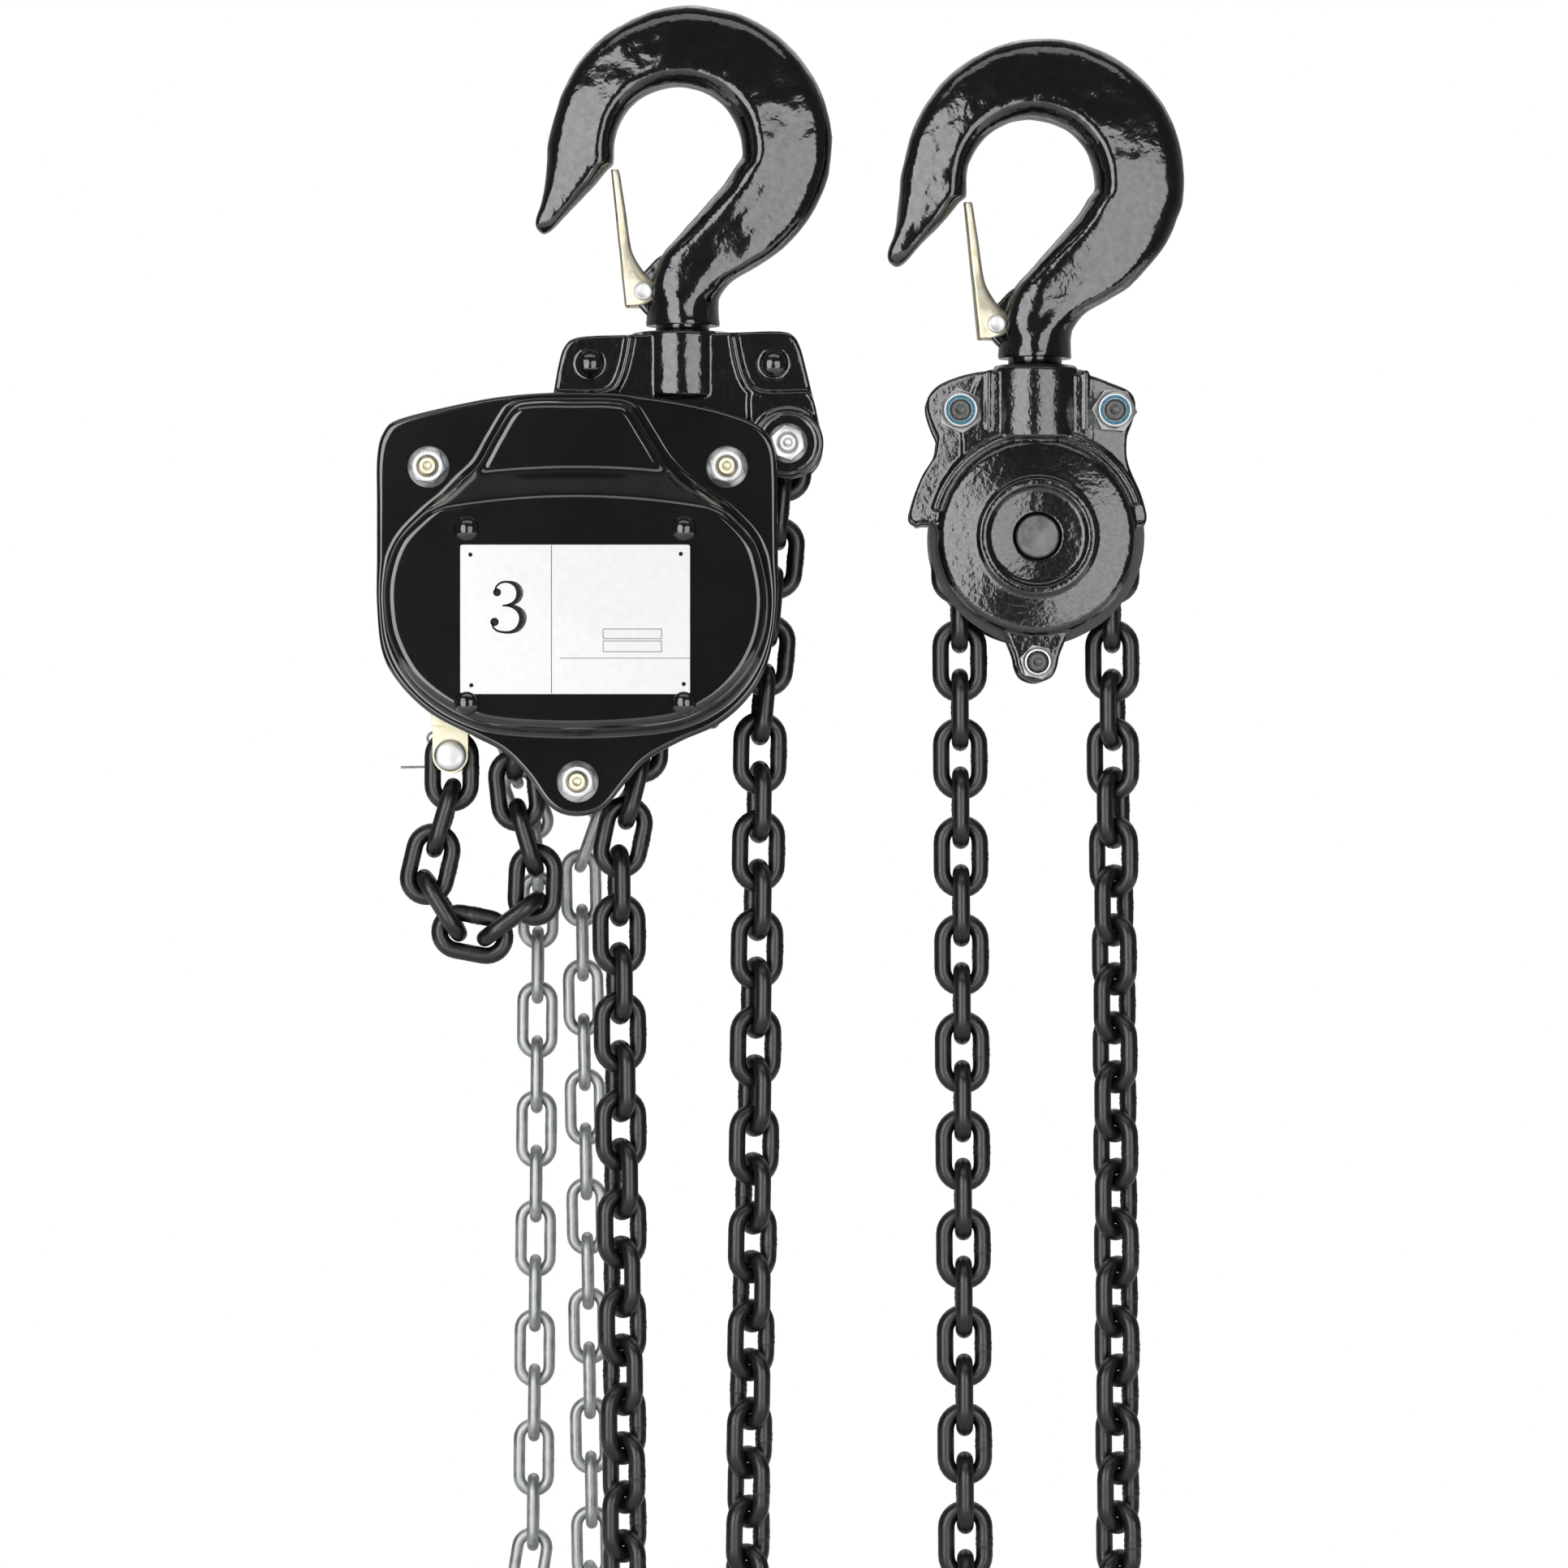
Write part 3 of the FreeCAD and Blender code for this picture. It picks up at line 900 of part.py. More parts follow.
# lower block: two halves round the sheave and the hook's shank, bolted together
BLOCK_shares = [(0.0, 1.0), (0.35, 1.0), (0.68, 0.95), (0.82, 0.87), (0.85, 0.8), (0.8, 0.68), (0.76, 0.58),
                (0.79, 0.5), (0.89, 0.39), (0.96, 0.23), (1.0, 0.12), (0.87, 0.1), (0.7, 0.0),
                (0.6, -0.35), (0.3, -0.62), (0.24, -0.68)]
block = new_body("block_half", "block_x", "", BLOCK_z)
outline = new_sketch(block, "block_outline", "XZ_Plane", "block_plate_inner")
corners = share_corners(BLOCK_shares, "block_half_width", "block_up")
draw_outline(outline, corners)
pad(block, outline, "block_plate_thickness")
lug = new_sketch(block, "block_lug", "XZ_Plane")
draw_outline(lug, [("-1.5 * block_bolt_radius", "-block_bolt_drop"),
                   ("1.5 * block_bolt_radius", "-block_bolt_drop"),
                   ("1.5 * block_bolt_radius", "-block_sheave_flange - 2 * seat_gap"),
                   ("-1.5 * block_bolt_radius", "-block_sheave_flange - 2 * seat_gap")])
pad(block, lug, "block_plate_inner + block_plate_thickness")
tongue = new_sketch(block, "block_tongue", "XZ_Plane", "block_plate_inner")
draw_outline(tongue, [("-block_lug_radius", "-block_bolt_drop"), ("block_lug_radius", "-block_bolt_drop"),
                      ("block_lug_radius", "-0.5 * block_bolt_drop"),
                      ("-block_lug_radius", "-0.5 * block_bolt_drop")])
pad(block, tongue, "block_plate_thickness")
end = new_sketch(block, "block_lug_end", "XZ_Plane")
draw_circle(end, "0", "-block_bolt_drop", "1.55 * block_bolt_radius")
pad(block, end, "block_plate_inner + block_plate_thickness")
nose = new_sketch(block, "block_lug_nose", "XZ_Plane", "block_plate_inner")
draw_circle(nose, "0", "-block_bolt_drop", "block_lug_radius")
pad(block, nose, "block_plate_thickness")
dome = new_sketch(block, "block_dome", "XZ_Plane", "block_plate_inner")
draw_circle(dome, "0", "0", "dome_radius")
swell = pad(block, dome, "dome_face - block_plate_inner")
ring = new_sketch(block, "block_ring", "XZ_Plane", "dome_face")
draw_circle(ring, "0", "0", "dome_ring_radius")
pad(block, ring, "dome_ring_height")
recess = new_sketch(block, "block_ring_recess", "XZ_Plane", "dome_face + dome_ring_height")
draw_circle(recess, "0", "0", "dome_ring_inner")
pocket(block, recess, "dome_ring_height")
boss = new_sketch(block, "block_boss", "XY_Plane", "block_boss_bottom")
draw_circle(boss, "0", "0", "block_boss_radius")
pad(block, boss, "block_boss_top - block_boss_bottom")
spacers = new_sketch(block, "block_spacers", "XZ_Plane")
draw_circle(spacers, "block_bolt_x", "block_bolt_rise", "2 * block_bolt_radius")
draw_circle(spacers, "-block_bolt_x", "block_bolt_rise", "2 * block_bolt_radius")
pad(block, spacers, "block_plate_inner + block_plate_thickness")
split = new_sketch(block, "block_split", "XZ_Plane")
draw_outline(split, [("-block_half_width", "-block_up"), ("block_half_width", "-block_up"),
                     ("block_half_width", "2 * block_up"), ("-block_half_width", "2 * block_up")])
pocket(block, split, "block_boss_radius + over")
bore = new_sketch(block, "block_bore", "XY_Plane", "block_up + over")
draw_circle(bore, "0", "0", "shank_radius + seat_gap")
pocket(block, bore, "block_up + over - block_boss_bottom - head_height")
seat = new_sketch(block, "block_head_seat", "XY_Plane", "block_boss_top - shank_length + head_height + seat_gap")
draw_circle(seat, "0", "0", "head_radius + seat_gap")
pocket(block, seat, "head_height + 2 * seat_gap")
holes = new_sketch(block, "block_holes", "XZ_Plane", "dome_face + over")
draw_circle(holes, "0", "0", "block_axle_radius")
draw_circle(holes, "block_bolt_x", "block_bolt_rise", "block_bolt_radius")
draw_circle(holes, "-block_bolt_x", "block_bolt_rise", "block_bolt_radius")
draw_circle(holes, "0", "-block_bolt_drop", "block_bolt_radius")
pocket(block, holes, "dome_face + 2 * over")
node(block, "block_plate_front")
node(mirrored("block_rear", block), "block_plate_rear")
node(pin("block_axle_solid", "block_axle_radius", "-dome_face - dome_ring_height",
         "2 * dome_face + 2 * dome_ring_height", "block_x", BLOCK_z), "block_axle")
rim, body_r = size("block_sheave_flange"), size("block_sheave_body")
half, pocket_half, groove = size("block_sheave_half"), size("sheave_pocket_half"), size("groove_half")
floor = groove_floor(LOAD_CHAIN, block_links)
bore = size("block_axle_radius") + fit
block_sheave = revolve([(bore, -half), (rim, -half), (rim, -half * 0.9), (body_r, -pocket_half),
                        (body_r, -groove), (floor, -groove), (floor, groove), (body_r, groove),
                        (body_r, pocket_half), (rim, half * 0.9), (rim, half), (bore, half)])
block_sheave = cut_pockets(block_sheave, LOAD_CHAIN, block_links)
block_x, block_z = size("block_x"), amount(BLOCK_z)
node(coded("block_sheave_solid", block_sheave, block_x, 0, block_z), "block_sheave")
plate_face = size("block_plate_inner") + size("block_plate_thickness")
bolts = []
bolt_r, across, nut_high = size("block_bolt_radius"), size("nut_across"), size("nut_height")
for x, z, scale in ((-size("block_bolt_x"), size("block_bolt_rise"), 1.27),
                    (size("block_bolt_x"), size("block_bolt_rise"), 1.27), (0.0, -size("block_bolt_drop"), 1)):
    bolt = rod(bolt_r, x, z, -plate_face - nut_high, plate_face)
    bolts.append(bolt.fuse(hexagon(across * scale, x, z, plate_face, plate_face + nut_high * 0.7)))
    nut = hexagon(across * scale, x, z, -plate_face - nut_high * 0.9, -plate_face)
    bolts.append(nut.cut(rod(bolt_r, x, z, -plate_face - nut_high * 2, 0)))
node(coded("block_bolt_set", Part.makeCompound(bolts), block_x, 0, block_z), "block_bolts")


# chains: one link shape, placed between the joints that a route is divided into
def link_shape(chain):
    radius, across = size(chain[0]) / 2, (size(chain[2]) + size(chain[0])) / 2
    half = size(chain[1]) / 2 + radius - across
    bend = Part.makeTorus(across, radius, Vector(), Vector(0, 1, 0), -180, 180, 180)
    bend.rotate(Vector(), Vector(0, 1, 0), -90)
    other = bend.copy()
    other.rotate(Vector(), Vector(0, 1, 0), 180)
    bend.translate(Vector(0, 0, half))
    other.translate(Vector(0, 0, -half))
    sides = [Part.makeCylinder(radius, half * 2, Vector(x, 0, -half)) for x in (-across, across)]
    return bend.fuse([other] + sides)


def place_link(link, start, end, roll, shift):
    """A link between two joints, its flat side turned by roll about its length."""
    along = (end - start).normalize()
    flat = along.cross(Vector(0, 1, 0)).normalize()
    turn = math.radians(roll)
    wide = flat * math.cos(turn) + Vector(0, math.sin(turn), 0)
    normal = along.cross(wide)
    matrix = FreeCAD.Matrix(wide.x, normal.x, along.x, 0, wide.y, normal.y, along.y, 0,
                            wide.z, normal.z, along.z, 0, 0, 0, 0, 1)
    placed = link.copy()
    placed.Placement = Placement((start + end) * 0.5 + shift, Placement(matrix).Rotation)
    return placed


def bends(joints):
    """Angle between neighbouring links at each joint, none at the two ends."""
    inner_bends = [(b - a).getAngle(c - b) for a, b, c in zip(joints, joints[1:], joints[2:])]
    return [0.0] + inner_bends + [0.0]


def march(path, steps):
    """Joints one step apart along a fine path, and the length left over, less than none if short."""
    joints, at = [path[0]], 0
    for number, step in enumerate(steps):
        here = joints[-1]
        i = at + 1
        while i < len(path) and (path[i] - here).Length < step:
            i += 1
        if i >= len(path):
            return joints, (path[-1] - here).Length - sum(steps[number:])
        a, b = path[i - 1], path[i]
        low, high = 0.0, 1.0
        for _ in range(24):
            middle = (low + high) / 2
            if (a + (b - a) * middle - here).Length < step:
                low = middle
            else:
                high = middle
        joints.append(a + (b - a) * low)
        at = i - 1
    rest = path[at + 1:]
    spots = [joints[-1]] + rest
    return joints, sum((b - a).Length for a, b in zip(spots, spots[1:]))


def run(corners, count=30):
    """Fine points along straight stretches."""
    points = []
    for a, b in zip(corners, corners[1:]):
        points += [a + (b - a) * (i / count) for i in range(count)]
    points.append(corners[-1])
    return points


def bight(a, b, deep, least, count=40):
    """Fine points of a hanging loop from a to b: two strands and a half round, no tighter than least."""
    middle = (a + b) * 0.5
    radius = max(abs(a.x - b.x) / 2, least)
    centre = Vector(middle.x, a.y, min(a.z, b.z) - deep + radius)
    side = math.copysign(radius, a.x - b.x)
    turn = [centre + Vector(side * math.cos(math.pi * i / count), 0, -radius * math.sin(math.pi * i / count))
            for i in range(count + 1)]
    return run([a, turn[0]]) + turn[1:-1] + run([turn[-1], b])


def close_route(chain, before, after, deep, parity, ends=(None, None), least=0.0):
    """Joints from one end of a route to the other: the loop between its two strands is made as deep
    as a whole number of links, of the wanted parity, asks for. ends are the joints beyond."""
    straight = size(chain[1]) - size(chain[3])
    start, end = run(before), run(after)

    def trial(depth, steps):
        return march(start + bight(start[-1], end[0], depth, least)[1:-1] + end, steps)

    _, left = trial(deep, [straight])
    count = math.ceil((left + straight) / straight)
    count += (count - parity) % 2
    steps = [straight] * count
    for _ in range(7):
        low, high = deep / 2, deep + 3 * straight
        for _ in range(26):
            middle = (low + high) / 2
            if trial(middle, steps)[1] < 0:
                low = middle
            else:
                high = middle
        joints = trial(high, steps)[0][:count] + [end[-1]]
        line = [j for j in (ends[0], *joints, ends[1]) if j]
        angles = bends(line)[1 if ends[0] else 0:][:count + 1]
        reach = [overrun(chain, angle) for angle in angles]
        steps = [size(chain[1]) + size(chain[0]) - a - b for a, b in zip(reach, reach[1:])]
    return joints


def wheel_joints(centre, chain, links, first, count):
    """Joints on a chain wheel, clockwise from the first angle."""
    ring = chain_seat(chain, links)[0]
    angles = [math.radians(first - 360 / links * i) for i in range(count)]
    return [centre + Vector(ring * math.cos(a), 0, ring * math.sin(a)) for a in angles]


def chain_links(chain, joints, first_roll, twists, closed=False):
    """Every link of a chain between its joints, riding out or in where the chain bends."""
    link = link_shape(chain)
    line = [joints[-2]] + joints + [joints[1]] if closed else joints
    angles = bends(line)[1:-1] if closed else bends(line)
    rides = []
    for i, angle in enumerate(angles):
        k = i + 1 if closed else i
        if k == 0 or k == len(line) - 1:
            rides.append(Vector())
            continue
        into = (line[k] - line[k - 1]).normalize()
        out = (line[k + 1] - line[k]).normalize()
        rides.append((into - out) * overrun(chain, angle) * math.cos(angle / 2))
    placed = []
    for i, (start, end) in enumerate(zip(joints, joints[1:])):
        roll = first_roll + 90 * (i % 2) + twists(i)
        along = (end - start).normalize()
        ride = (rides[i] + rides[i + 1]) * 0.5
        ride = (ride - along * ride.dot(along)) * (math.cos(math.radians(2 * roll)) / 2)
        placed.append(place_link(link, start, end, roll, ride))
    return placed


head_centre = Vector(axis_x, 0, axis_z)
block_centre = Vector(block_x, 0, block_z)
sheave_joints = wheel_joints(head_centre, LOAD_CHAIN, sheave_links, 180, sheave_links // 2 + 1)
block_joints = wheel_joints(block_centre, LOAD_CHAIN, block_links, 180, block_links // 2 + 1)

# falls of the load chain down to the lower edge of the view, then loops that close the route
low_z = size("frame_z")
fall = [sheave_joints[-1], Vector(size("fall_x"), 0, size("fall_z")),
        Vector(size("fall_bend_x"), 0, size("fall_bend_z")), Vector(size("fall_low_x"), 0, low_z)]
block_right = [Vector(size("block_right_low_x"), 0, low_z), block_joints[-1]]
outer_joints = close_route(LOAD_CHAIN, fall, block_right, size("outer_bight"), 1,
                           (sheave_joints[-2], block_joints[-2]))
anchor_start = Vector(size("lug_x"), 0, lug_z + size("anchor_radius") + fit)
anchor_fall = [anchor_start, Vector(size("anchor_mid_x"), 0, size("anchor_mid_z")),
               Vector(size("anchor_low_x"), 0, low_z)]
block_left = [Vector(size("block_left_low_x"), 0, low_z), block_joints[0]]
inner_joints = close_route(LOAD_CHAIN, anchor_fall, block_left, size("inner_bight"), 1,
                           (None, block_joints[1]))
tail_start = Vector(tail_x, 0, tail_z + size("tail_pin_radius") + fit)
slack_fall = [sheave_joints[0], Vector(size("slack_x"), 0, size("slack_z"))]
slack_low = [Vector(tail_x, 0, size("slack_z")), tail_start]
slack_joints = close_route(LOAD_CHAIN, slack_fall, slack_low, size("slack_bight"), 0, (sheave_joints[1], None),
                           size("least_loop_radius"))

# the whole load chain from its tail to its anchor, with the twist that its falls hang in
counts = [len(slack_joints) - 1, len(sheave_joints) - 1, len(outer_joints) - 1, len(block_joints) - 1,
          len(inner_joints) - 1]
load_joints = (slack_joints[::-1] + sheave_joints[1:] + outer_joints[1:] + block_joints[::-1][1:]
               + inner_joints[::-1][1:])
starts = [sum(counts[:i]) for i in range(6)]


def ramp(i, a, b):
    return min(max((i - a) / (b - a), 0.0), 1.0)


def load_twist(i):
    """Degrees of roll: it grows down the two falls of the head and is gone again at the block."""
    total, back = size("twist_total"), starts[5] - 1 - i
    over_fall, to_block, down, away = (size(name) for name in (
        "twist_fall_links", "untwist_block_links", "twist_anchor_links", "untwist_anchor_links"))
    outer = ramp(i, starts[2] + 1, starts[2] + 1 + over_fall)
    outer *= 1 - ramp(i, starts[3] - 1 - to_block, starts[3] - 1)
    inner = ramp(back, 1, 1 + down) * (1 - ramp(back, 2 + down, 2 + down + away))
    return total * outer - total * inner


load_links = chain_links(LOAD_CHAIN, load_joints, 0.0, load_twist)
parts_of_chain = [load_links[a:b] for a, b in zip(starts, starts[1:])]
slack_links, on_sheave, outer_links, on_block, inner_links = parts_of_chain


def split_links(links):
    """Links above the lower edge at the start, links of the loop, links above it at the end."""
    centres = [link.BoundBox.Center.z for link in links]
    first = next(i for i, z in enumerate(centres) if z < low_z)
    last = len(links) - next(i for i, z in enumerate(reversed(centres)) if z < low_z)
    return links[:first], links[first:last], links[last:]


fall_links, outer_loop, right_links = split_links(outer_links)
left_links, inner_loop, anchor_links = split_links(inner_links)
for name, links in (("falls", fall_links + anchor_links), ("bights", outer_loop + inner_loop),
                    ("block_falls", left_links + right_links), ("slack_loop", slack_links),
                    ("on_load_sheave", on_sheave), ("on_block_sheave", on_block)):
    node(coded(f"load_chain_{name}_links", Part.makeCompound(links)), f"load_chain_{name}")

# hand chain: over the hand wheel, drawn together below its cover, one long narrow loop
wheel_mid = Vector(axis_x, mid, axis_z)
wrap = 2 * (wheel_links // 3) + 1
hand_joints = wheel_joints(wheel_mid, HAND_CHAIN, wheel_links, 90 + 180 / wheel_links * wrap, wrap + 1)
hand_x = [size(name) for name in ("hand_left_x", "hand_right_x", "hand_left_low_x", "hand_right_low_x")]
hand_top, hand_low = size("hand_top_z"), size("hand_low_z")
hand_down = [hand_joints[-1], Vector(hand_x[1], mid, hand_top), Vector(hand_x[3], mid, hand_low)]
hand_up = [Vector(hand_x[2], mid, hand_low), Vector(hand_x[0], mid, hand_top), hand_joints[0]]
hand_loop = close_route(HAND_CHAIN, hand_down, hand_up, size("hand_bight"), 1, (hand_joints[-2], hand_joints[1]),
                        size("least_hand_radius"))
hand_links = chain_links(HAND_CHAIN, hand_joints + hand_loop[1:], 90.0, lambda i: 0.0, closed=True)
node(coded("hand_chain_fall_links", Part.makeCompound(hand_links[wrap:])), "hand_chain_falls")
node(coded("hand_chain_wheel_links", Part.makeCompound(hand_links[:wrap])), "hand_chain_on_wheel")

doc.recompute()
for item in doc.Objects:
    if "Invalid" in item.State or "Error" in item.State:
        raise SystemExit(f"{item.Name} did not build: {item.State}")
for item in NODES:
    if item.Shape.isNull() or not item.Shape.isValid():
        raise SystemExit(f"{item.Label} is not a valid shape")
os.makedirs("parts", exist_ok=True)
for item in NODES:
    item.Shape.exportStep(f"parts/{item.Label}.step")
    print(item.Label, len(item.Shape.Solids), round(item.Shape.Volume, 1))
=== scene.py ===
"""Looks of the hand chain hoist: enamelled forgings and pressings, zinc plated fasteners, chains of
round steel links. Metres, +Z up, -Y out of the gear cover, the origin on the seat of the top hook."""
import json
from math import asin, copysign, cos, exp, hypot, pi, radians, sin, sqrt, tan

import bmesh
import bpy
import numpy as np
from mathutils import Matrix, Vector, noise


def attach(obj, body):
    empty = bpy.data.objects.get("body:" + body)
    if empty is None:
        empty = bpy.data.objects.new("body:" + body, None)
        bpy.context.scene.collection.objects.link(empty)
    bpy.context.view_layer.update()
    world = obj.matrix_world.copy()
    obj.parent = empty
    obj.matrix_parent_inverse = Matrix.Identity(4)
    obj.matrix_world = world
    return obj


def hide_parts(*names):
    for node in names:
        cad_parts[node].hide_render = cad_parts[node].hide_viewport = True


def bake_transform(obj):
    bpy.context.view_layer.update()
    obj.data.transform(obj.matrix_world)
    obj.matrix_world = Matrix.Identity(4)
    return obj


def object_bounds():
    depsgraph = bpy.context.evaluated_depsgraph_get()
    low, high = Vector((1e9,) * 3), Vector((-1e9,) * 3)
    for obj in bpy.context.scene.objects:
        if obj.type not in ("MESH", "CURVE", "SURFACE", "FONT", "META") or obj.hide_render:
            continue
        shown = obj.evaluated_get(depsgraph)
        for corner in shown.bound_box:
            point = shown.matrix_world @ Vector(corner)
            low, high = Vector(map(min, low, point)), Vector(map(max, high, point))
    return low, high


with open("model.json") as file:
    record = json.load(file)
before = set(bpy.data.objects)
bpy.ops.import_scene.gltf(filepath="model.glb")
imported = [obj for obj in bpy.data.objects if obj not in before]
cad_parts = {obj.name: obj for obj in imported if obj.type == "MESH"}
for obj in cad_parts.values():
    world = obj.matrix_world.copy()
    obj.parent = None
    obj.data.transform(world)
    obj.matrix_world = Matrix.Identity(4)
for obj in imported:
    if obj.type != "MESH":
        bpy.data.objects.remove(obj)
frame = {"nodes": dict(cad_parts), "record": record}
cad_box = [list(corner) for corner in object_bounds()]
MM = 0.001


def in_scene(name, data):
    made = bpy.data.objects.new(name, data)
    bpy.context.scene.collection.objects.link(made)
    return made


# --- the camera stands where the photograph was taken from
VIEW_CENTRE = Vector((43.03 * MM, 0, -295.7 * MM))
VIEW_DISTANCE = 2.6
VIEW_WIDTH = 0.665
camera = bpy.data.cameras.new("camera")
camera.sensor_width = 36
camera.lens = camera.sensor_width * VIEW_DISTANCE / VIEW_WIDTH
camera.clip_start, camera.clip_end = 0.1, 40
stand = in_scene("camera", camera)
stand.location = VIEW_CENTRE - Vector((0, VIEW_DISTANCE, 0))
stand.rotation_euler = (radians(90), 0, 0)
bpy.context.scene.camera = stand
bpy.context.scene.view_settings.view_transform = "Standard"


# --- materials
def linear(code):
    """A six-digit sRGB hex colour as linear RGBA."""
    shades = [int(code[i:i + 2], 16) / 255 for i in (1, 3, 5)]
    return [s / 12.92 if s <= 0.04045 else ((s + 0.055) / 1.055) ** 2.4 for s in shades] + [1.0]


def add(tree, kind, sockets=None, stops=(), **settings):
    """One node with its settings. Each socket gets a value, or a link from a socket or from a
    node's first output, and a colour ramp its stops, (position, hex colour or grey)."""
    made = tree.nodes.new("ShaderNode" + kind)
    for name, value in settings.items():
        setattr(made, name, value)
    for name, value in (sockets or {}).items():
        if isinstance(value, bpy.types.Node):
            value = value.outputs[0]
        if isinstance(value, bpy.types.NodeSocket):
            tree.links.new(value, made.inputs[name])
        else:
            made.inputs[name].default_value = value
    if stops:
        band = made.color_ramp.elements
        while len(band) < len(stops):
            band.new(0.5)
        for element, (position, shade) in zip(band, stops):
            element.position = position
            element.color = linear(shade) if isinstance(shade, str) else (shade, shade, shade, 1.0)
    return made


def new_finish(name):
    """An empty material, its node tree and the object's own coordinates."""
    finish = bpy.data.materials.new(name)
    finish.use_nodes = True
    tree = finish.node_tree
    tree.nodes.clear()
    return finish, tree, add(tree, "TexCoord").outputs["Object"]


def per_mm(size):
    """Noise scale whose grains measure this many millimetres, in metres' coordinates."""
    return 1 / (size * MM)


def black_enamel(name, lump, lump_height, peel, peel_height, rough):
    """Stoved black enamel: a deep gloss over the metal's own unevenness. The lumps of the skin
    below break up the reflections; the paint's orange peel softens their edges."""
    finish, tree, place = new_finish(name)
    lumps = add(tree, "TexNoise", {"Vector": place, "Scale": per_mm(lump), "Detail": 2.0,
                                   "Roughness": 0.5, "Distortion": 0.3})
    skin = add(tree, "TexNoise", {"Vector": place, "Scale": per_mm(peel), "Detail": 1.0})
    cloud = add(tree, "TexNoise", {"Vector": place, "Scale": per_mm(lump * 0.45), "Detail": 4.0})
    low = add(tree, "Bump", {"Height": lumps, "Distance": lump_height * MM, "Strength": 1.0})
    high = add(tree, "Bump", {"Height": skin, "Distance": peel_height * MM, "Strength": 1.0,
                              "Normal": low})
    surface = add(tree, "BsdfPrincipled", {
        "Base Color": add(tree, "ValToRGB", {"Fac": lumps}, [(0.3, "#08090a"), (0.7, "#101213")]),
        "Roughness": add(tree, "ValToRGB", {"Fac": skin}, [(0.3, rough * 0.85), (0.75, rough * 1.25)]),
        "Coat Weight": add(tree, "ValToRGB", {"Fac": cloud}, [(0.32, 0.55), (0.66, 1.0)]),
        "Normal": high, "IOR": 1.65, "Coat Roughness": 0.08, "Coat IOR": 1.6, "Coat Normal": high})
    add(tree, "OutputMaterial", {"Surface": surface})
    return finish


def steel(name, tones, shines, cloud, grain, bump, more, brush=1.0):
    """Steel whose colour and shine drift together over a cloud. The grain is its size and detail,
    the bump its height and strength, and the brush draws the grain out."""
    finish, tree, place = new_finish(name)
    drift = add(tree, "TexNoise", {"Vector": place, "Scale": per_mm(cloud), "Detail": 4.0,
                                   "Roughness": 0.6})
    fine = add(tree, "TexNoise", {
        "Vector": add(tree, "Mapping", {"Vector": place, "Scale": (1.0, 1.0, brush)}),
        "Scale": per_mm(grain[0]), "Detail": grain[1]})
    surface = add(tree, "BsdfPrincipled", {
        "Base Color": add(tree, "ValToRGB", {"Fac": drift}, tones),
        "Roughness": add(tree, "ValToRGB", {"Fac": drift}, shines),
        "Normal": add(tree, "Bump", {"Height": fine, "Distance": bump[0] * MM, "Strength": bump[1]}),
        **more})
    add(tree, "OutputMaterial", {"Surface": surface})
    return finish


def plated_steel(name, tones, rough, grain, brush=1.0):
    """Electroplated steel: bright, slightly clouded metal with fine scratches of handling. Real
    plating has a grain of hundredths of a millimetre; it is drawn as coarse as it needs to show."""
    return steel(name, list(zip((0.3, 0.5, 0.7), tones)), [(0.3, rough * 0.8), (0.7, rough * 1.3)],
                 6, (grain, 3.0), (0.03, 0.8), {"Metallic": 1.0}, brush)


def flat_finish(name, low, high, rough, size, metal=0.0):
    """A quiet surface with a slight mottling of its colour and a fine grain."""
    finish, tree, place = new_finish(name)
    grain = add(tree, "TexNoise", {"Vector": place, "Scale": per_mm(size), "Detail": 3.0})
    surface = add(tree, "BsdfPrincipled", {
        "Base Color": add(tree, "ValToRGB", {"Fac": grain}, [(0.35, low), (0.65, high)]),
        "Normal": add(tree, "Bump", {"Height": grain, "Distance": 0.02 * MM, "Strength": 0.8}),
        "Metallic": metal, "Roughness": rough})
    add(tree, "OutputMaterial", {"Surface": surface})
    return finish


# enamel on a drop forging: scale pits below make reflections lumpy
forged = black_enamel("black_enamel_on_forging", 6, 0.24, 1.6, 0.03, 0.12)
# enamel on pressed sheet: nearly mirror smooth, long quiet reflections
pressed = black_enamel("black_enamel_on_pressing", 40, 0.2, 1.4, 0.006, 0.09)
# enamel on the cast block: coarse sand skin shows as an even peel
cast = black_enamel("black_enamel_on_casting", 3.2, 0.2, 1.7, 0.05, 0.16)
# bright zinc of the nuts and pins: cool silver, a little frosted
zinc = plated_steel("bright_zinc_plate", ("#d3d5d5", "#e2e3e3", "#ececea"), 0.42, 0.7)
# galvanised hand chain: duller and greyer than the nuts, tumbled by handling
tumbled = plated_steel("tumbled_zinc_of_hand_chain", ("#a9adae", "#c6c9c9", "#d8d9d8"), 0.46, 0.9)
# zinc passivated yellow: straw with a faint cloud, warm beside the nuts
straw = plated_steel("yellow_passivated_zinc", ("#ece3c0", "#f4efd9", "#eadcbb"), 0.42, 0.8)
# turned and milled steel of gears, axles and sheaves: grey with a grain drawn out by the tool
turned = plated_steel("machined_steel", ("#8d8f90", "#a2a4a5", "#b4b5b5"), 0.34, 0.5, 6.0)
# ends of the block's axle, sawn off and oiled: darker, with saw marks
sawn = plated_steel("sawn_oiled_steel", ("#5a5b5c", "#727374", "#858686"), 0.4, 0.45, 7.0)
# hard drawn wire: small sharp glints along its coils
spring = plated_steel("spring_wire", ("#8b8d8f", "#a0a2a3", "#b5b6b6"), 0.3, 0.5)
# moulded friction lining: dull brown, speckled with fibres
lining = flat_finish("moulded_brake_lining", "#3a2f27", "#4c3e33", 0.8, 0.8)
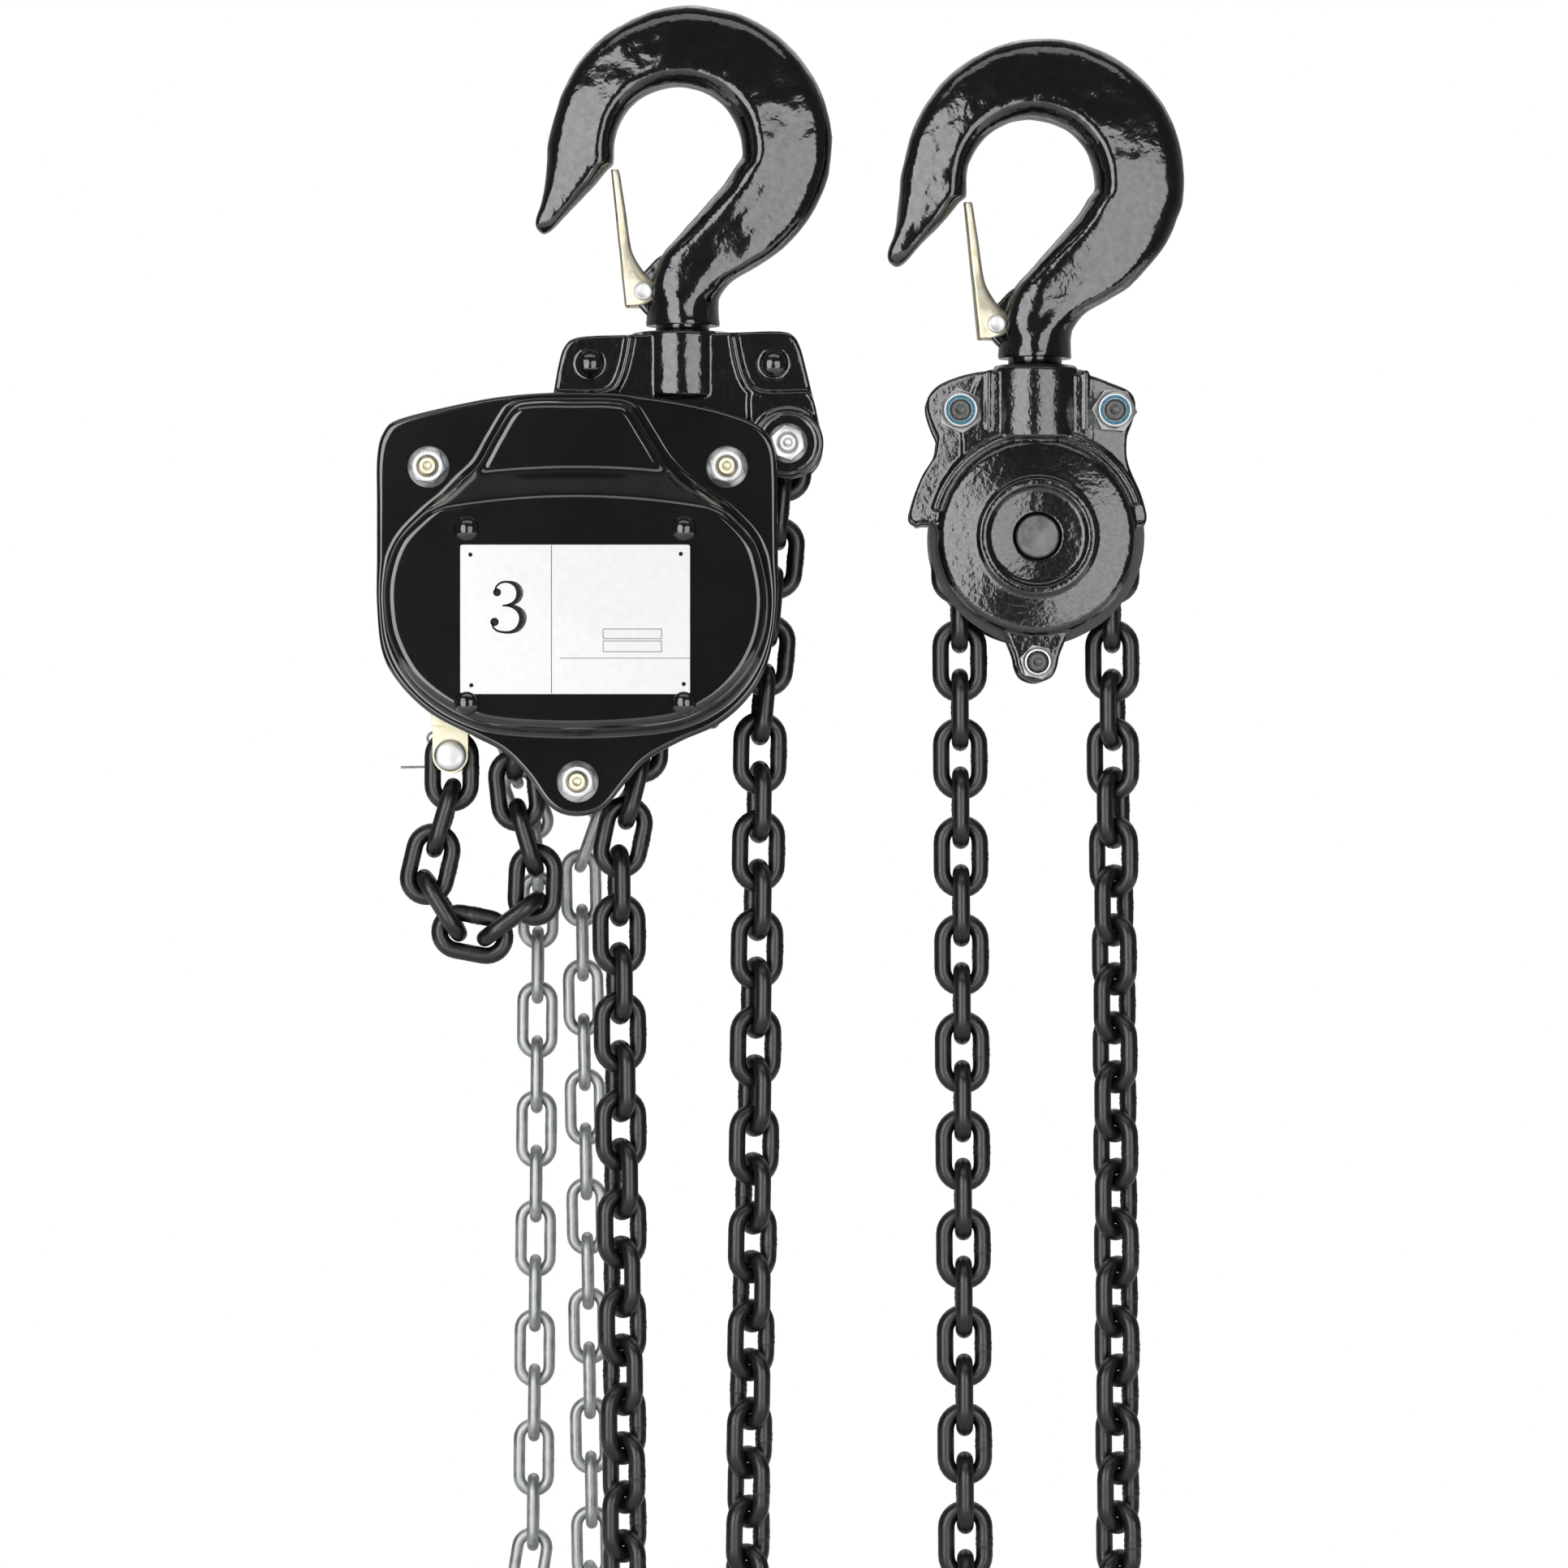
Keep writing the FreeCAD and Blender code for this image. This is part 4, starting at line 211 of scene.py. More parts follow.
# heat treated chain steel, blackened and oiled: dark satin whose scale breaks the shine
chain_black = steel(
    "blackened_oiled_chain_steel", [(0.3, "#080808"), (0.55, "#0f0f0f"), (0.8, "#191817")],
    [(0.3, 0.27), (0.75, 0.4)], 2.2, (0.6, 2.0), (0.05, 0.9), {"IOR": 1.7})
# white stoved enamel of the plate: flat, even, barely glossy
white = flat_finish("white_enamelled_sheet", "#f4f5f5", "#f8f9f9", 0.35, 3.0)
# screen print on the plate: matt black that takes no reflections
ink = flat_finish("black_screen_print", "#101011", "#18181a", 0.55, 2.0)
# the plate's drive pins: black dots with one small glint
drive_pin = flat_finish("blackened_drive_pin", "#1b1b1c", "#2a2a2a", 0.4, 0.7, 1.0)
# locking rings of the block's nuts: translucent looking blue plastic, softly glossy
nylon = flat_finish("blue_nylon_ring", "#2c687e", "#3f8093", 0.4, 1.2)
# cut ends of the block's bolts: grey steel whose threads have lost their plating
thread_black = flat_finish("blackened_bolt_end", "#5c5c5b", "#7a7977", 0.5, 0.6, 1.0)

BODIES = frame["record"]["behaviour"]["bodies"]
BODY_OF = {node: body for body, nodes in BODIES.items() for node in nodes}
SLOT_OF = {part["node"]: part["material_slot"] for part in frame["record"]["subparts"]}
FINISHES = {
    "black_paint": forged, "black_chain": chain_black, "bright_zinc": zinc, "yellow_zinc": straw,
    "white_paint": white, "machined_steel": turned, "friction_lining": lining, "spring_steel": spring}
PRESSINGS = ("gear_cover", "wheel_cover", "side_plate_front", "side_plate_rear")
OILED = ("block_sheave", "load_sheave")
for node, shown in frame["nodes"].items():
    shown.data.materials.clear()
    shown.data.materials.append(pressed if node in PRESSINGS else chain_black if node in OILED
                                else FINISHES[SLOT_OF[node]])


# --- forms, drawn in millimetres
def smooth_line(corners, steps, closed=True):
    """Even curve through the corners, steps points to each stretch."""
    p = np.array(corners, float)
    p = np.vstack([p[-1:], p, p[:2]] if closed else [p[:1], p, p[-1:]])
    line = []
    for a, b, c, d in zip(p, p[1:], p[2:], p[3:]):
        for t in np.linspace(0, 1, steps, endpoint=False):
            line.append(0.5 * (2 * b + (c - a) * t + (2 * a - 5 * b + 4 * c - d) * t * t
                               + (3 * b - a - 3 * c + d) * t ** 3))
    return np.array(line if closed else line + [p[-1]])


def divided(line, count):
    """A closed line shared out into count even steps."""
    ring = np.vstack([line, line[:1]])
    run = np.concatenate([[0], np.cumsum(np.linalg.norm(np.diff(ring, axis=0), axis=1))])
    at = np.linspace(0, run[-1], count, endpoint=False)
    return np.column_stack([np.interp(at, run, ring[:, k]) for k in (0, 1)])


def drawn_in(line, by):
    """A closed line moved inwards by a distance, or outwards where it is negative."""
    line = np.asarray(line, float)
    along = np.roll(line, -1, axis=0) - np.roll(line, 1, axis=0)
    along /= np.linalg.norm(along, axis=1)[:, None]
    x, z = line[:, 0], line[:, 1]
    turning = np.sign(np.sum(x * np.roll(z, -1) - np.roll(x, -1) * z))
    inward = np.column_stack([-along[:, 1], along[:, 0]]) * turning
    return line + inward * np.asarray(by, float).reshape(-1, 1)


def circle(radius, x=0.0, z=0.0, count=48):
    turn = np.linspace(0, 2 * pi, count, endpoint=False)
    return np.column_stack([x + radius * np.cos(turn), z + radius * np.sin(turn)])


def moved(line, place):
    return [(place[0] + x, place[1] + z) for x, z in line]


def at_y(line, y):
    return [(x, y, z) for x, z in line]


def skin(shape, rings, ends=True, ring_closed=True, back_to_first=False):
    """Quads between rings of equal count, each ring a list of (x, y, z)."""
    rows = [[shape.verts.new(point) for point in ring] for ring in rings]
    count = len(rows[0])
    for low, high in list(zip(rows, rows[1:])) + ([(rows[-1], rows[0])] if back_to_first else []):
        for i in range(count if ring_closed else count - 1):
            j = (i + 1) % count
            shape.faces.new((low[i], low[j], high[j], high[i]))
    if ends:
        shape.faces.new(rows[0][::-1])
        shape.faces.new(rows[-1])


def tablet(shape, line, back, front, rim=0.0):
    """A flat form between two y values with its front and back rims rounded."""
    side = 1 if front > back else -1
    turns = [radians(turn) for turn in (0, 30, 60, 90)] if rim else []
    rings = [at_y(drawn_in(line, rim * (1 - sin(a))), face + way * rim * (1 - cos(a)))
             for face, way, order in ((back, side, turns), (front, -side, turns[::-1]))
             for a in order]
    skin(shape, rings or [at_y(line, back), at_y(line, front)])


def turned_form(shape, profile, x=0.0, z=0.0, upright=False, count=64, hollow=False):
    """A form turned about a line along Y, or about Z when upright; profile holds (radius, place)."""
    rings = []
    for radius, place in profile:
        ring = circle(max(radius, 0.001), count=count)
        rings.append([(x + a, b, z + place) if upright else (x + a, place, z + b) for a, b in ring])
    skin(shape, rings, ends=not hollow, back_to_first=hollow)


def bar_along(shape, route, radius, count=12):
    """A round bar along a route of (x, y, z), such as a wire or a raised bead."""
    route = [Vector(point) for point in route]
    rings, last = [], None
    for i, point in enumerate(route):
        ahead = (route[min(i + 1, len(route) - 1)] - route[max(i - 1, 0)]).normalized()
        if last is None:
            aside = ahead.orthogonal().normalized()
        else:
            aside = (last - ahead * last.dot(ahead)).normalized()
        last, across = aside, ahead.cross(aside)
        rings.append([point + (aside * cos(a) + across * sin(a)) * radius
                      for a in np.linspace(0, 2 * pi, count, endpoint=False)])
    skin(shape, rings)


HALVES_GAP = 0.15


def half_barrel(shape, x, outer, inner, low, high, rim=1.0):
    """Half of an upright sleeve, the half in front of y = 0."""
    turns = np.linspace(pi, 2 * pi, 41)

    def arc(radius, z, order):
        return [(x + radius * cos(t), min(radius * sin(t), -HALVES_GAP), z) for t in order]

    skin(shape, [arc(outer + grow, z, turns) + arc(inner, z, turns[::-1]) for grow, z in (
        (-rim, low), (0, low + rim), (0, high - rim), (-rim, high))])


NUT_STEPS = 72


def nut_form(shape, x, z, face, side, across, height, bore, brim=0.0, collar=0.0, spin=0.0):
    """Hexagon nut seated on a face: an optional pressed brim below and a crimped collar above."""
    turns = np.linspace(0, 2 * pi, NUT_STEPS, endpoint=False)
    flats = across / 2 / np.cos((turns + pi / 6) % (pi / 3) - pi / 6)
    top = across * 0.475
    bevel = (flats - top) * 0.55
    if brim:
        rings = [(bore, 0), (brim, 0), (brim, 0.5), (brim - 0.4, 0.9), ((flats + brim) / 2, 1.25),
                 (flats + 0.15, 1.8)]
    else:
        rings = [(bore, 0), (top, 0), (flats, bevel)]
    rings += [(flats, height - bevel), (top, height)]
    if collar:
        rings += [(top * 0.98, height + 0.2), (top * 0.96, height + collar * 0.7),
                  (top * 0.92, height + collar), (top * 0.87, height + collar * 0.85),
                  (bore, height + collar * 0.8)]
    else:
        rings += [(bore + 0.7, height), (bore, height - 0.7)]
    placed = []
    for ring in rings:
        radii, rises = (np.broadcast_to(value, NUT_STEPS) for value in ring)
        placed.append([(x + r * cos(t + spin), face + side * h, z + r * sin(t + spin))
                       for r, t, h in zip(radii, turns, rises)])
    skin(shape, placed, ends=False, back_to_first=True)


def bolt_end(shape, x, z, radius, start, end):
    """The end of a threaded bar: a few turns of thread, a bevel and a turned dimple."""
    side = 1 if end > start else -1
    rings, place, crest = [(radius * 0.9, start)], start, True
    while abs(end - place) > 1.3:
        rings.append((radius if crest else radius * 0.93, place))
        place += side * 0.55
        crest = not crest
    rings += [(radius * share, end - side * depth) for share, depth in (
        (1, 0.7), (0.82, 0), (0.5, 0), (0.42, 0.25), (0.12, 0.8), (0, 0.8))]
    turned_form(shape, rings, x, z, count=36)


def drawn(form, *where, **how):
    """A new mesh that holds one form."""
    shape = bmesh.new()
    form(shape, *where, **how)
    return shape


def shown_as(name, mesh, node, replace=True, span=None):
    """The mesh as an object that moves as its CAD node does, hiding that node when it replaces it.
    A piece with a span has its place baked into its mesh and rides no body."""
    made = in_scene(name, mesh)
    if span:
        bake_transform(made)
    else:
        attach(made, BODY_OF[node])
    if replace:
        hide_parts(node)
    return made


def piece(name, shape, node, finish=None, sharp=32, replace=True):
    """The form in metres, smooth but for its edges, shown as its CAD node is."""
    bmesh.ops.remove_doubles(shape, verts=shape.verts, dist=0.0005)
    bmesh.ops.recalc_face_normals(shape, faces=shape.faces)
    shape.transform(Matrix.Scale(MM, 4))
    mesh = bpy.data.meshes.new(name)
    shape.to_mesh(mesh)
    shape.free()
    mesh.shade_smooth()
    if sharp:
        mesh.set_sharp_from_angle(angle=radians(sharp))
    mesh.materials.append(finish or FINISHES[SLOT_OF[node]])
    return shown_as(name, mesh, node, replace)


def sheet_metal(made, thickness):
    """Gives a drawn face the thickness of its sheet, inwards."""
    sheet = made.modifiers.new("sheet", "SOLIDIFY")
    sheet.thickness, sheet.offset = thickness * MM, -1


def cast_whole(made):
    """Overlapping forms run together into one casting with soft inside corners and edges."""
    melt = made.modifiers.new("melt", "REMESH")
    melt.mode, melt.voxel_size, melt.use_smooth_shade = "VOXEL", 0.6 * MM, True
    settle = made.modifiers.new("settle", "SMOOTH")
    settle.factor, settle.iterations = 0.6, 5


def cast_pair(names, nodes, shape, finish):
    """Two halves alike: the front one, and its form turned to the other side of y = 0."""
    front = piece(names[0], shape, nodes[0], finish, sharp=0)
    mesh = front.data.copy()
    mesh.name = names[1]
    mesh.transform(Matrix.Diagonal((1, -1, 1, 1)))
    mesh.flip_normals()
    cast_whole(front)
    cast_whole(shown_as(names[1], mesh, nodes[1]))


# --- places on the hoist in millimetres, from its drawing: (x, z), or beside the axis above them
MAIN_AXIS = (-43.5, -226.0)
STUDS = moved([(-62.6, 63.3), (62.6, 63.3), (0.0, -68.7)], MAIN_AXIS)
COVER_RIVETS = moved([(-45, 36), (45, 36), (-45, -36), (45, -36)], MAIN_AXIS)
PLATE_PINS = moved([(-43.4, 25.3), (43.8, 25.6), (-43.0, -28.8), (45.0, -28.3)], MAIN_AXIS)
BLOCK_AXIS = (149.5, -191.7)
HOOK_SEATS = {"top": (0.0, 0.0), "lower": (149.5, -13.8)}
LATCH_PIN = (-16.5, -87.4)
YOKE_RIVETS = [(-38.7, -118.7), (38.7, -118.7)]
ANCHOR = (44.6, -152.3)
TAIL_PIN = (-98.1, -283.6)
FLANGE_FACE = 28.5

# --- hooks, drop forged: a deep section with flat flanks, thicker on the bowl's side
# each station: inner x, z, outer x, z, depth and squareness of the section
HOOK_NECK = [
    (-15.3, -101.6, 15.3, -101.6, 30.4, 2), (-15.5, -100.4, 15.5, -100.4, 31, 2),
    (-15.3, -98, 15.3, -98, 30.6, 2), (-15.3, -93, 15.3, -92.5, 30.4, 2),
    (-14.8, -88.5, 16.5, -88.3, 29.5, 2.15), (-13.2, -81.5, 21.8, -82, 28, 2.3),
    (-9.3, -71.5, 31.5, -76.6, 26, 2.6), (-1, -62, 40.6, -70.8, 25, 3),
    (9, -51, 49.5, -61.6, 24.5, 3.6), (17.3, -41.6, 56.6, -51.6, 24, 4.2),
    (22.2, -34, 61.3, -40.4, 24, 4.6)]
HOOK_NOSE = [
    (-29.1, -25.3, -56.9, -24, 23.5, 4.6), (-29.2, -30.5, -57.5, -30.5, 23, 4.6),
    (-29.6, -33, -57.9, -34.5, 22.5, 4.4), (-32, -35.2, -58.3, -39, 21.5, 4.2),
    (-37.5, -41.8, -58.9, -45, 19.5, 4), (-44.2, -48.8, -59.9, -50, 16.5, 3.7),
    (-50, -55, -61.6, -54.5, 14, 3.4), (-53.4, -58.8, -62.4, -57.6, 12, 3),
    (-55.4, -60.8, -62, -60, 9.5, 2.6), (-57, -62, -60.8, -61.5, 6, 2.2),
    (-58.4, -62.6, -59.6, -62.4, 2, 2)]
# circles of the bowl's inside and outside: middle and radius
BOWL = (-2.0, -27.2, 27.2)
CROWN = (4.0, -25.3, 59.5)
BOWL_BEARINGS = (-6, *range(5, 156, 10), 164)
# lug of the shank that the latch straddles
LATCH_LUG = [
    (2, -72), (-5, -71.2), (-10, -72.4), (-15.6, -78), (-20.6, -83.4), (-21.8, -88.4),
    (-19.2, -92.4), (-15, -97), (-10, -100.5), (-5, -101), (2, -100)]
SHANK_FOOT = [
    (0.001, -128.6), (14.4, -128.6), (15, -128), (15, -123.2), (14.4, -122.6), (11, -122.6),
    (11, -104.6), (11.4, -104.2), (11.4, -101), (0.001, -101)]
LATCH_PIN_TURNED = [
    (0.001, 10.3), (2.2, 10.2), (3.6, 9.9), (4, 9.2), (4, 9), (2.5, 9), (2.5, -9), (4, -9),
    (4, -9.2), (3.6, -9.9), (2.9, -10.2), (2.2, -10), (1.2, -9.8), (0.001, -9.8)]
SECTION_TURNS = np.linspace(0, 2 * pi, 72, endpoint=False)
FLANK_DRAFT = radians(10.5)
CORNER_TURN = 0.75
INNER_ROUNDING_SHARE, OUTER_ROUNDING_SHARE = 0.36, 0.25
SKIN_LUMP = 0.4


def bowl_stations():
    """Stations round the bowl, from its right side over the top to its left side."""
    stations = []
    for bearing in BOWL_BEARINGS:
        ray = np.array([cos(radians(bearing)), sin(radians(bearing))])
        start = np.array(BOWL[:2])
        offset = np.array(CROWN[:2]) - start
        along = ray @ offset
        far = along + sqrt(CROWN[2] ** 2 - offset @ offset + along ** 2)
        stations.append((*(start + ray * BOWL[2]), *(start + ray * far), 24.0, 4.6))
    return stations


def wedge_reach(width, depth, square):
    """Reach from the middle of a hook's section to its skin: round at 0, at 1 a soft-cornered wedge
    whose two flanks close up towards the hook's outer side."""
    close, sharpness = tan(square * FLANK_DRAFT), 2 + square * 13
    c, s = np.cos(SECTION_TURNS), np.sin(SECTION_TURNS)
    leaning, rising = cos(CORNER_TURN), sin(CORNER_TURN)
    sides = [(c / width, 1), (-c / width, 1), ((close * c + s) / depth, 1),
             ((close * c - s) / depth, 1)]
    for side, share in ((-1, INNER_ROUNDING_SHARE), (1, OUTER_ROUNDING_SHARE)):
        corner = width * (1 - share)
        reach = corner * leaning + (depth - side * corner * close) * rising
        for flank in (-1, 1):
            sides.append(((side * c * leaning + flank * s * rising) / reach, square))
    total = sum(weight * np.maximum(side, 0) ** sharpness for side, weight in sides)
    return total ** (-1 / sharpness)


def hook_form(shape, x, z, seed):
    """A forging from nose to shank; its skin keeps the slight lumps of the die and the hammer."""
    rings = []
    for xi, zi, xo, zo, depth, square in smooth_line(
            HOOK_NECK + bowl_stations() + HOOK_NOSE, 4, closed=False):
        inner, outer = np.array([xi, 0, zi]), np.array([xo, 0, zo])
        middle, half = (inner + outer) / 2, (outer - inner) / 2
        width = np.linalg.norm(half)
        away = wedge_reach(width, depth / 2, min(max(square - 2, 0) / 2.6, 1))
        ring = middle + (half / width) * (away * np.cos(SECTION_TURNS))[:, None]
        rings.append(ring + np.array([0, 1, 0]) * (away * np.sin(SECTION_TURNS))[:, None])
    for ring in rings:
        middle = ring.mean(axis=0)
        for i, point in enumerate(ring):
            lump = noise.noise(Vector(point) * 0.075 + Vector((seed, 0, 0)))
            lump += 0.5 * noise.noise(Vector(point) * 0.2 + Vector((0, seed, 0)))
            away = point - middle
            ring[i] = point + away / max(np.linalg.norm(away), 1) * lump * SKIN_LUMP
    skin(shape, [ring + np.array([x, 0, z]) for ring in rings])
    turned_form(shape, SHANK_FOOT, x, z, upright=True, count=56)
    tablet(shape, moved(divided(smooth_line(LATCH_LUG, 4), 90), (x, z)), 4.2, -4.2, 1.2)


for place, seed in (("top", 3.0), ("lower", 11.0)):
    piece(place + "_hook_forging", drawn(hook_form, *HOOK_SEATS[place], seed), place + "_hook",
          forged, sharp=50)
    shape = drawn(turned_form, LATCH_PIN_TURNED, *moved([LATCH_PIN], HOOK_SEATS[place])[0], count=40)
    piece(place + "_latch_pin_upset", shape, place + "_latch_pin", zinc)


# --- gear cover, deep drawn from one sheet: flange, oval bulge and hood above it
COVER_EDGE = [
    (-1.3, 94.7), (22.9, 93.7), (47.4, 90), (67.2, 84.8), (77.7, 79.4), (82.3, 72.3), (83.6, 61.7),
    (83.8, 41.3), (84, 20.9), (83.8, 6.6), (82.4, -6.7), (79, -20.7), (71.5, -33.6), (59.3, -44.5),
    (43.2, -51.8), (29, -59.8), (19.5, -69.9), (10.9, -79.9), (0, -83.3), (-10.9, -79.9),
    (-20.7, -66.9), (-31.3, -56.4), (-43.9, -49.6), (-60.9, -40.8), (-74.2, -28.5), (-82, -14.8),
    (-84.3, 5.2), (-84.4, 23.6), (-84.4, 48.1), (-84.3, 67.5), (-81.6, 78), (-74.2, 83.8),
    (-43.9, 91), (-24.5, 93.7)]
BULGE_FOOT = [
    (0, 91), (14.7, 90.8), (22.6, 88.3), (30.2, 76.8), (37, 66), (45.1, 57.8), (54.5, 51.2),
    (64.2, 43.8), (74.6, 32), (79.3, 17.2), (80.4, 3), (77.6, -11.8), (69.8, -26.2), (56.8, -37.9),
    (38.2, -45.4), (2.4, -48), (-33.4, -46.2), (-52, -40), (-68.2, -27.6), (-77.4, -11.8),
    (-80.4, 3), (-79.8, 17.5), (-74.6, 32), (-64, 43.5), (-55, 51), (-48.5, 57.8), (-41.7, 64.6),
    (-35.3, 76), (-27.6, 88), (-19.3, 90.8)]
BULGE_DEPTH, HOOD_DROP = 31.2, 15.0
BULGE_CORNER, BULGE_LEAN = 4.4, 1.0
COVER_COLUMNS = 360
# the edge and the bulge's foot are paired by their bearing from a point above the axis
PAIRING_HEIGHT = 8


def bulge_rise(line):
    """How far the bulge's face stands off the flange: less on the hood, beyond a sloping band."""
    x, z = line[:, 0], line[:, 1]
    low, high, soft = 49.8 - 0.0016 * x * x, 62.3 - 0.0014 * x * x, 1.3
    down = (np.sqrt((z - low) ** 2 + soft ** 2) - np.sqrt((z - high) ** 2 + soft ** 2)) / (high - low)
    return BULGE_DEPTH - HOOD_DROP * (down + 1) / 2


def gear_cover_form(shape):
    foot = divided(smooth_line(BULGE_FOOT, 12), COVER_COLUMNS)
    fine_edge = smooth_line(COVER_EDGE, 12)
    bearing = np.arctan2(fine_edge[:, 1] - PAIRING_HEIGHT, fine_edge[:, 0])
    turning = np.argsort(bearing)
    foot_bearing = np.arctan2(foot[:, 1] - PAIRING_HEIGHT, foot[:, 0])
    edge = np.column_stack([np.interp(foot_bearing, bearing[turning], fine_edge[turning, k],
                                      period=2 * pi) for k in (0, 1)])
    room = np.linalg.norm(edge - foot, axis=1)
    fillet, roll = np.minimum(3.0, room * 0.45), np.minimum(2.2, room * 0.35)
    rings = []

    def lay(line, heights):
        rings.append([(x, -FLANGE_FACE - h, z) for (x, z), h in zip(moved(line, MAIN_AXIS), heights)])

    # from the rolled edge over the flange and the fillet at the bulge's foot
    toward = (foot - edge) / room[:, None]
    for a in np.radians((0, 30, 60, 90)):
        lay(edge + toward * (roll * (1 - cos(a)))[:, None], -roll * (1 - sin(a)))
    inset_edge, outset = edge + toward * roll[:, None], drawn_in(foot, -fillet)
    for share in (0.04, 0.25, 0.5, 0.75, 0.96):
        lay(inset_edge * (1 - share) + outset * share, np.zeros(COVER_COLUMNS))
    for a in np.radians((0, 18, 36, 54, 72, 90)):
        lay(drawn_in(foot, -fillet * (1 - sin(a))), fillet * (1 - cos(a)))
    # up the wall, round its corner and over the face to a line in the middle
    for share in (0.25, 0.5, 0.75):
        line = drawn_in(foot, BULGE_LEAN * share)
        lay(line, fillet + (bulge_rise(line) - BULGE_CORNER - fillet) * share)
    for a in np.radians((0, 12, 24, 36, 48, 60, 72, 82, 90)):
        line = drawn_in(foot, BULGE_LEAN + BULGE_CORNER * (1 - cos(a)))
        lay(line, bulge_rise(line) - BULGE_CORNER + BULGE_CORNER * sin(a))
    inner = drawn_in(foot, BULGE_LEAN + BULGE_CORNER)
    spine = np.column_stack([np.clip(inner[:, 0] * 0.6, -38, 38), np.zeros(COVER_COLUMNS)])
    for share in np.linspace(0, 1, 64)[1:]:
        line = inner * (1 - share) + spine * share
        lay(line, bulge_rise(line))
    skin(shape, rings, ends=False)


sheet_metal(piece("gear_cover_pressing", drawn(gear_cover_form), "gear_cover", pressed, sharp=0), 2.3)


# --- latches: pressed channels, narrow at the blade, widening to ears round the pin
# each station: height, web's place, free edge's place and half the width of the channel
LATCH_EDGE = [
    (-35.6, -30.3, -27.2, 5.2), (-37, -30.1, -26.6, 5.6), (-43, -29.5, -25.7, 5.8),
    (-51.7, -28.6, -24.3, 5.9), (-60, -27.8, -23.2, 6), (-66, -27.2, -22.3, 6.2),
    (-70, -26.7, -21.4, 6.9), (-74, -26.3, -19.6, 7.6), (-79, -25.8, -16.3, 8.4),
    (-83, -25.4, -12.7, 8.9), (-87.5, -24.9, -11.2, 9), (-90.5, -24.6, -12.2, 9),
    (-92.6, -24.4, -15, 9), (-93.2, -24.3, -18.4, 9)]


def latch_form(shape, x, z):
    rings = []
    for rise, web, free, half in smooth_line(LATCH_EDGE, 4, closed=False):
        bend = min(1.7, (free - web) * 0.45)
        side = [(free, half), ((free + web) / 2, half)]
        side += [(web + bend * (1 - sin(a)), half - bend * (1 - cos(a)))
                 for a in np.linspace(0, pi / 2, 7)]
        rings.append([(x + px, -py, z + rise) for px, py in side]
                     + [(x + px, py, z + rise) for px, py in side[::-1]])
    skin(shape, rings, ends=False, ring_closed=False)


for place in ("top", "lower"):
    sheet_metal(piece(place + "_latch_channel", drawn(latch_form, *HOOK_SEATS[place]),
                      place + "_latch", straw, sharp=0), 1.3)


# --- wheel cover: flange on the rear plate and a drawn drum, open below for the hand chain
DRUM_RADIUS, DRUM_ROUNDING, DRUM_MOUTH, DRUM_BACK = 70.0, 6.0, -46.0, 88.0
DRUM_SHOULDER = DRUM_BACK - 6.5
DRUM_PROFILE = [
    (DRUM_RADIUS + 3.5, FLANGE_FACE), (DRUM_RADIUS + 1.6, FLANGE_FACE + 0.5),
    (DRUM_RADIUS + 0.4, FLANGE_FACE + 1.7), (DRUM_RADIUS, FLANGE_FACE + 3.5), (DRUM_RADIUS, 45),
    (DRUM_RADIUS, 65), (DRUM_RADIUS, DRUM_SHOULDER)]
# pressed step of the drum's back: share of the way to the middle, and how deep it lies
DRUM_STEP = [
    (0.03, 0), (0.12, 0), (0.15, 0), (0.165, 0.3), (0.19, 1.8), (0.2, 2.2), (0.22, 2.4), (0.4, 2.4),
    (0.6, 2.4), (0.8, 2.4), (0.97, 2.4), (1, 2.4)]
PLATE_INNER, PLATE_OUTER = 21, 26


def wheel_cover_form(shape):
    ax, az = MAIN_AXIS
    open_turn = asin(DRUM_MOUTH / DRUM_RADIUS)
    turns = np.linspace(open_turn, pi - open_turn, 150)
    arc = np.column_stack([np.cos(turns), np.sin(turns)])
    inner = DRUM_RADIUS - DRUM_ROUNDING
    profile = DRUM_PROFILE + [
        (inner + DRUM_ROUNDING * cos(a), DRUM_SHOULDER + DRUM_ROUNDING * sin(a))
        for a in np.linspace(0.2, pi / 2, 8)]
    rings = [[(ax + radius * c, y, az + max(radius * s, DRUM_MOUTH)) for c, s in arc]
             for radius, y in profile]
    for share, sunk in DRUM_STEP:
        line = np.maximum(arc * inner, [-99, DRUM_MOUTH]) * (1 - share)
        line = line + np.array([0, DRUM_MOUTH]) * share
        rings.append(at_y(moved(line, MAIN_AXIS), DRUM_BACK - sunk))
    skin(shape, rings, ends=False, ring_closed=False)


def cover_outline(inset):
    return drawn_in(divided(smooth_line(COVER_EDGE, 8), 240), inset)


def rear_flange_form(shape):
    outline = cover_outline(2.3)
    bearing = np.arctan2(outline[:, 1], outline[:, 0])
    hole = np.column_stack([np.cos(bearing), np.sin(bearing)]) * (DRUM_RADIUS - DRUM_ROUNDING)
    skin(shape, [at_y(moved(line, MAIN_AXIS), y) for line, y in (
        (hole, PLATE_OUTER), (outline, PLATE_OUTER), (outline, 27.2), (drawn_in(outline, 0.4), 28.1),
        (drawn_in(outline, 1.3), FLANGE_FACE), (drawn_in(outline, 2.0), FLANGE_FACE),
        (hole * 1.02, FLANGE_FACE), (hole, 28))], ends=False, back_to_first=True)


sheet_metal(piece("wheel_cover_drum", drawn(wheel_cover_form), "wheel_cover", pressed, sharp=0), 2.0)
piece("wheel_cover_flange", drawn(rear_flange_form), "wheel_cover", pressed, sharp=40, replace=False)

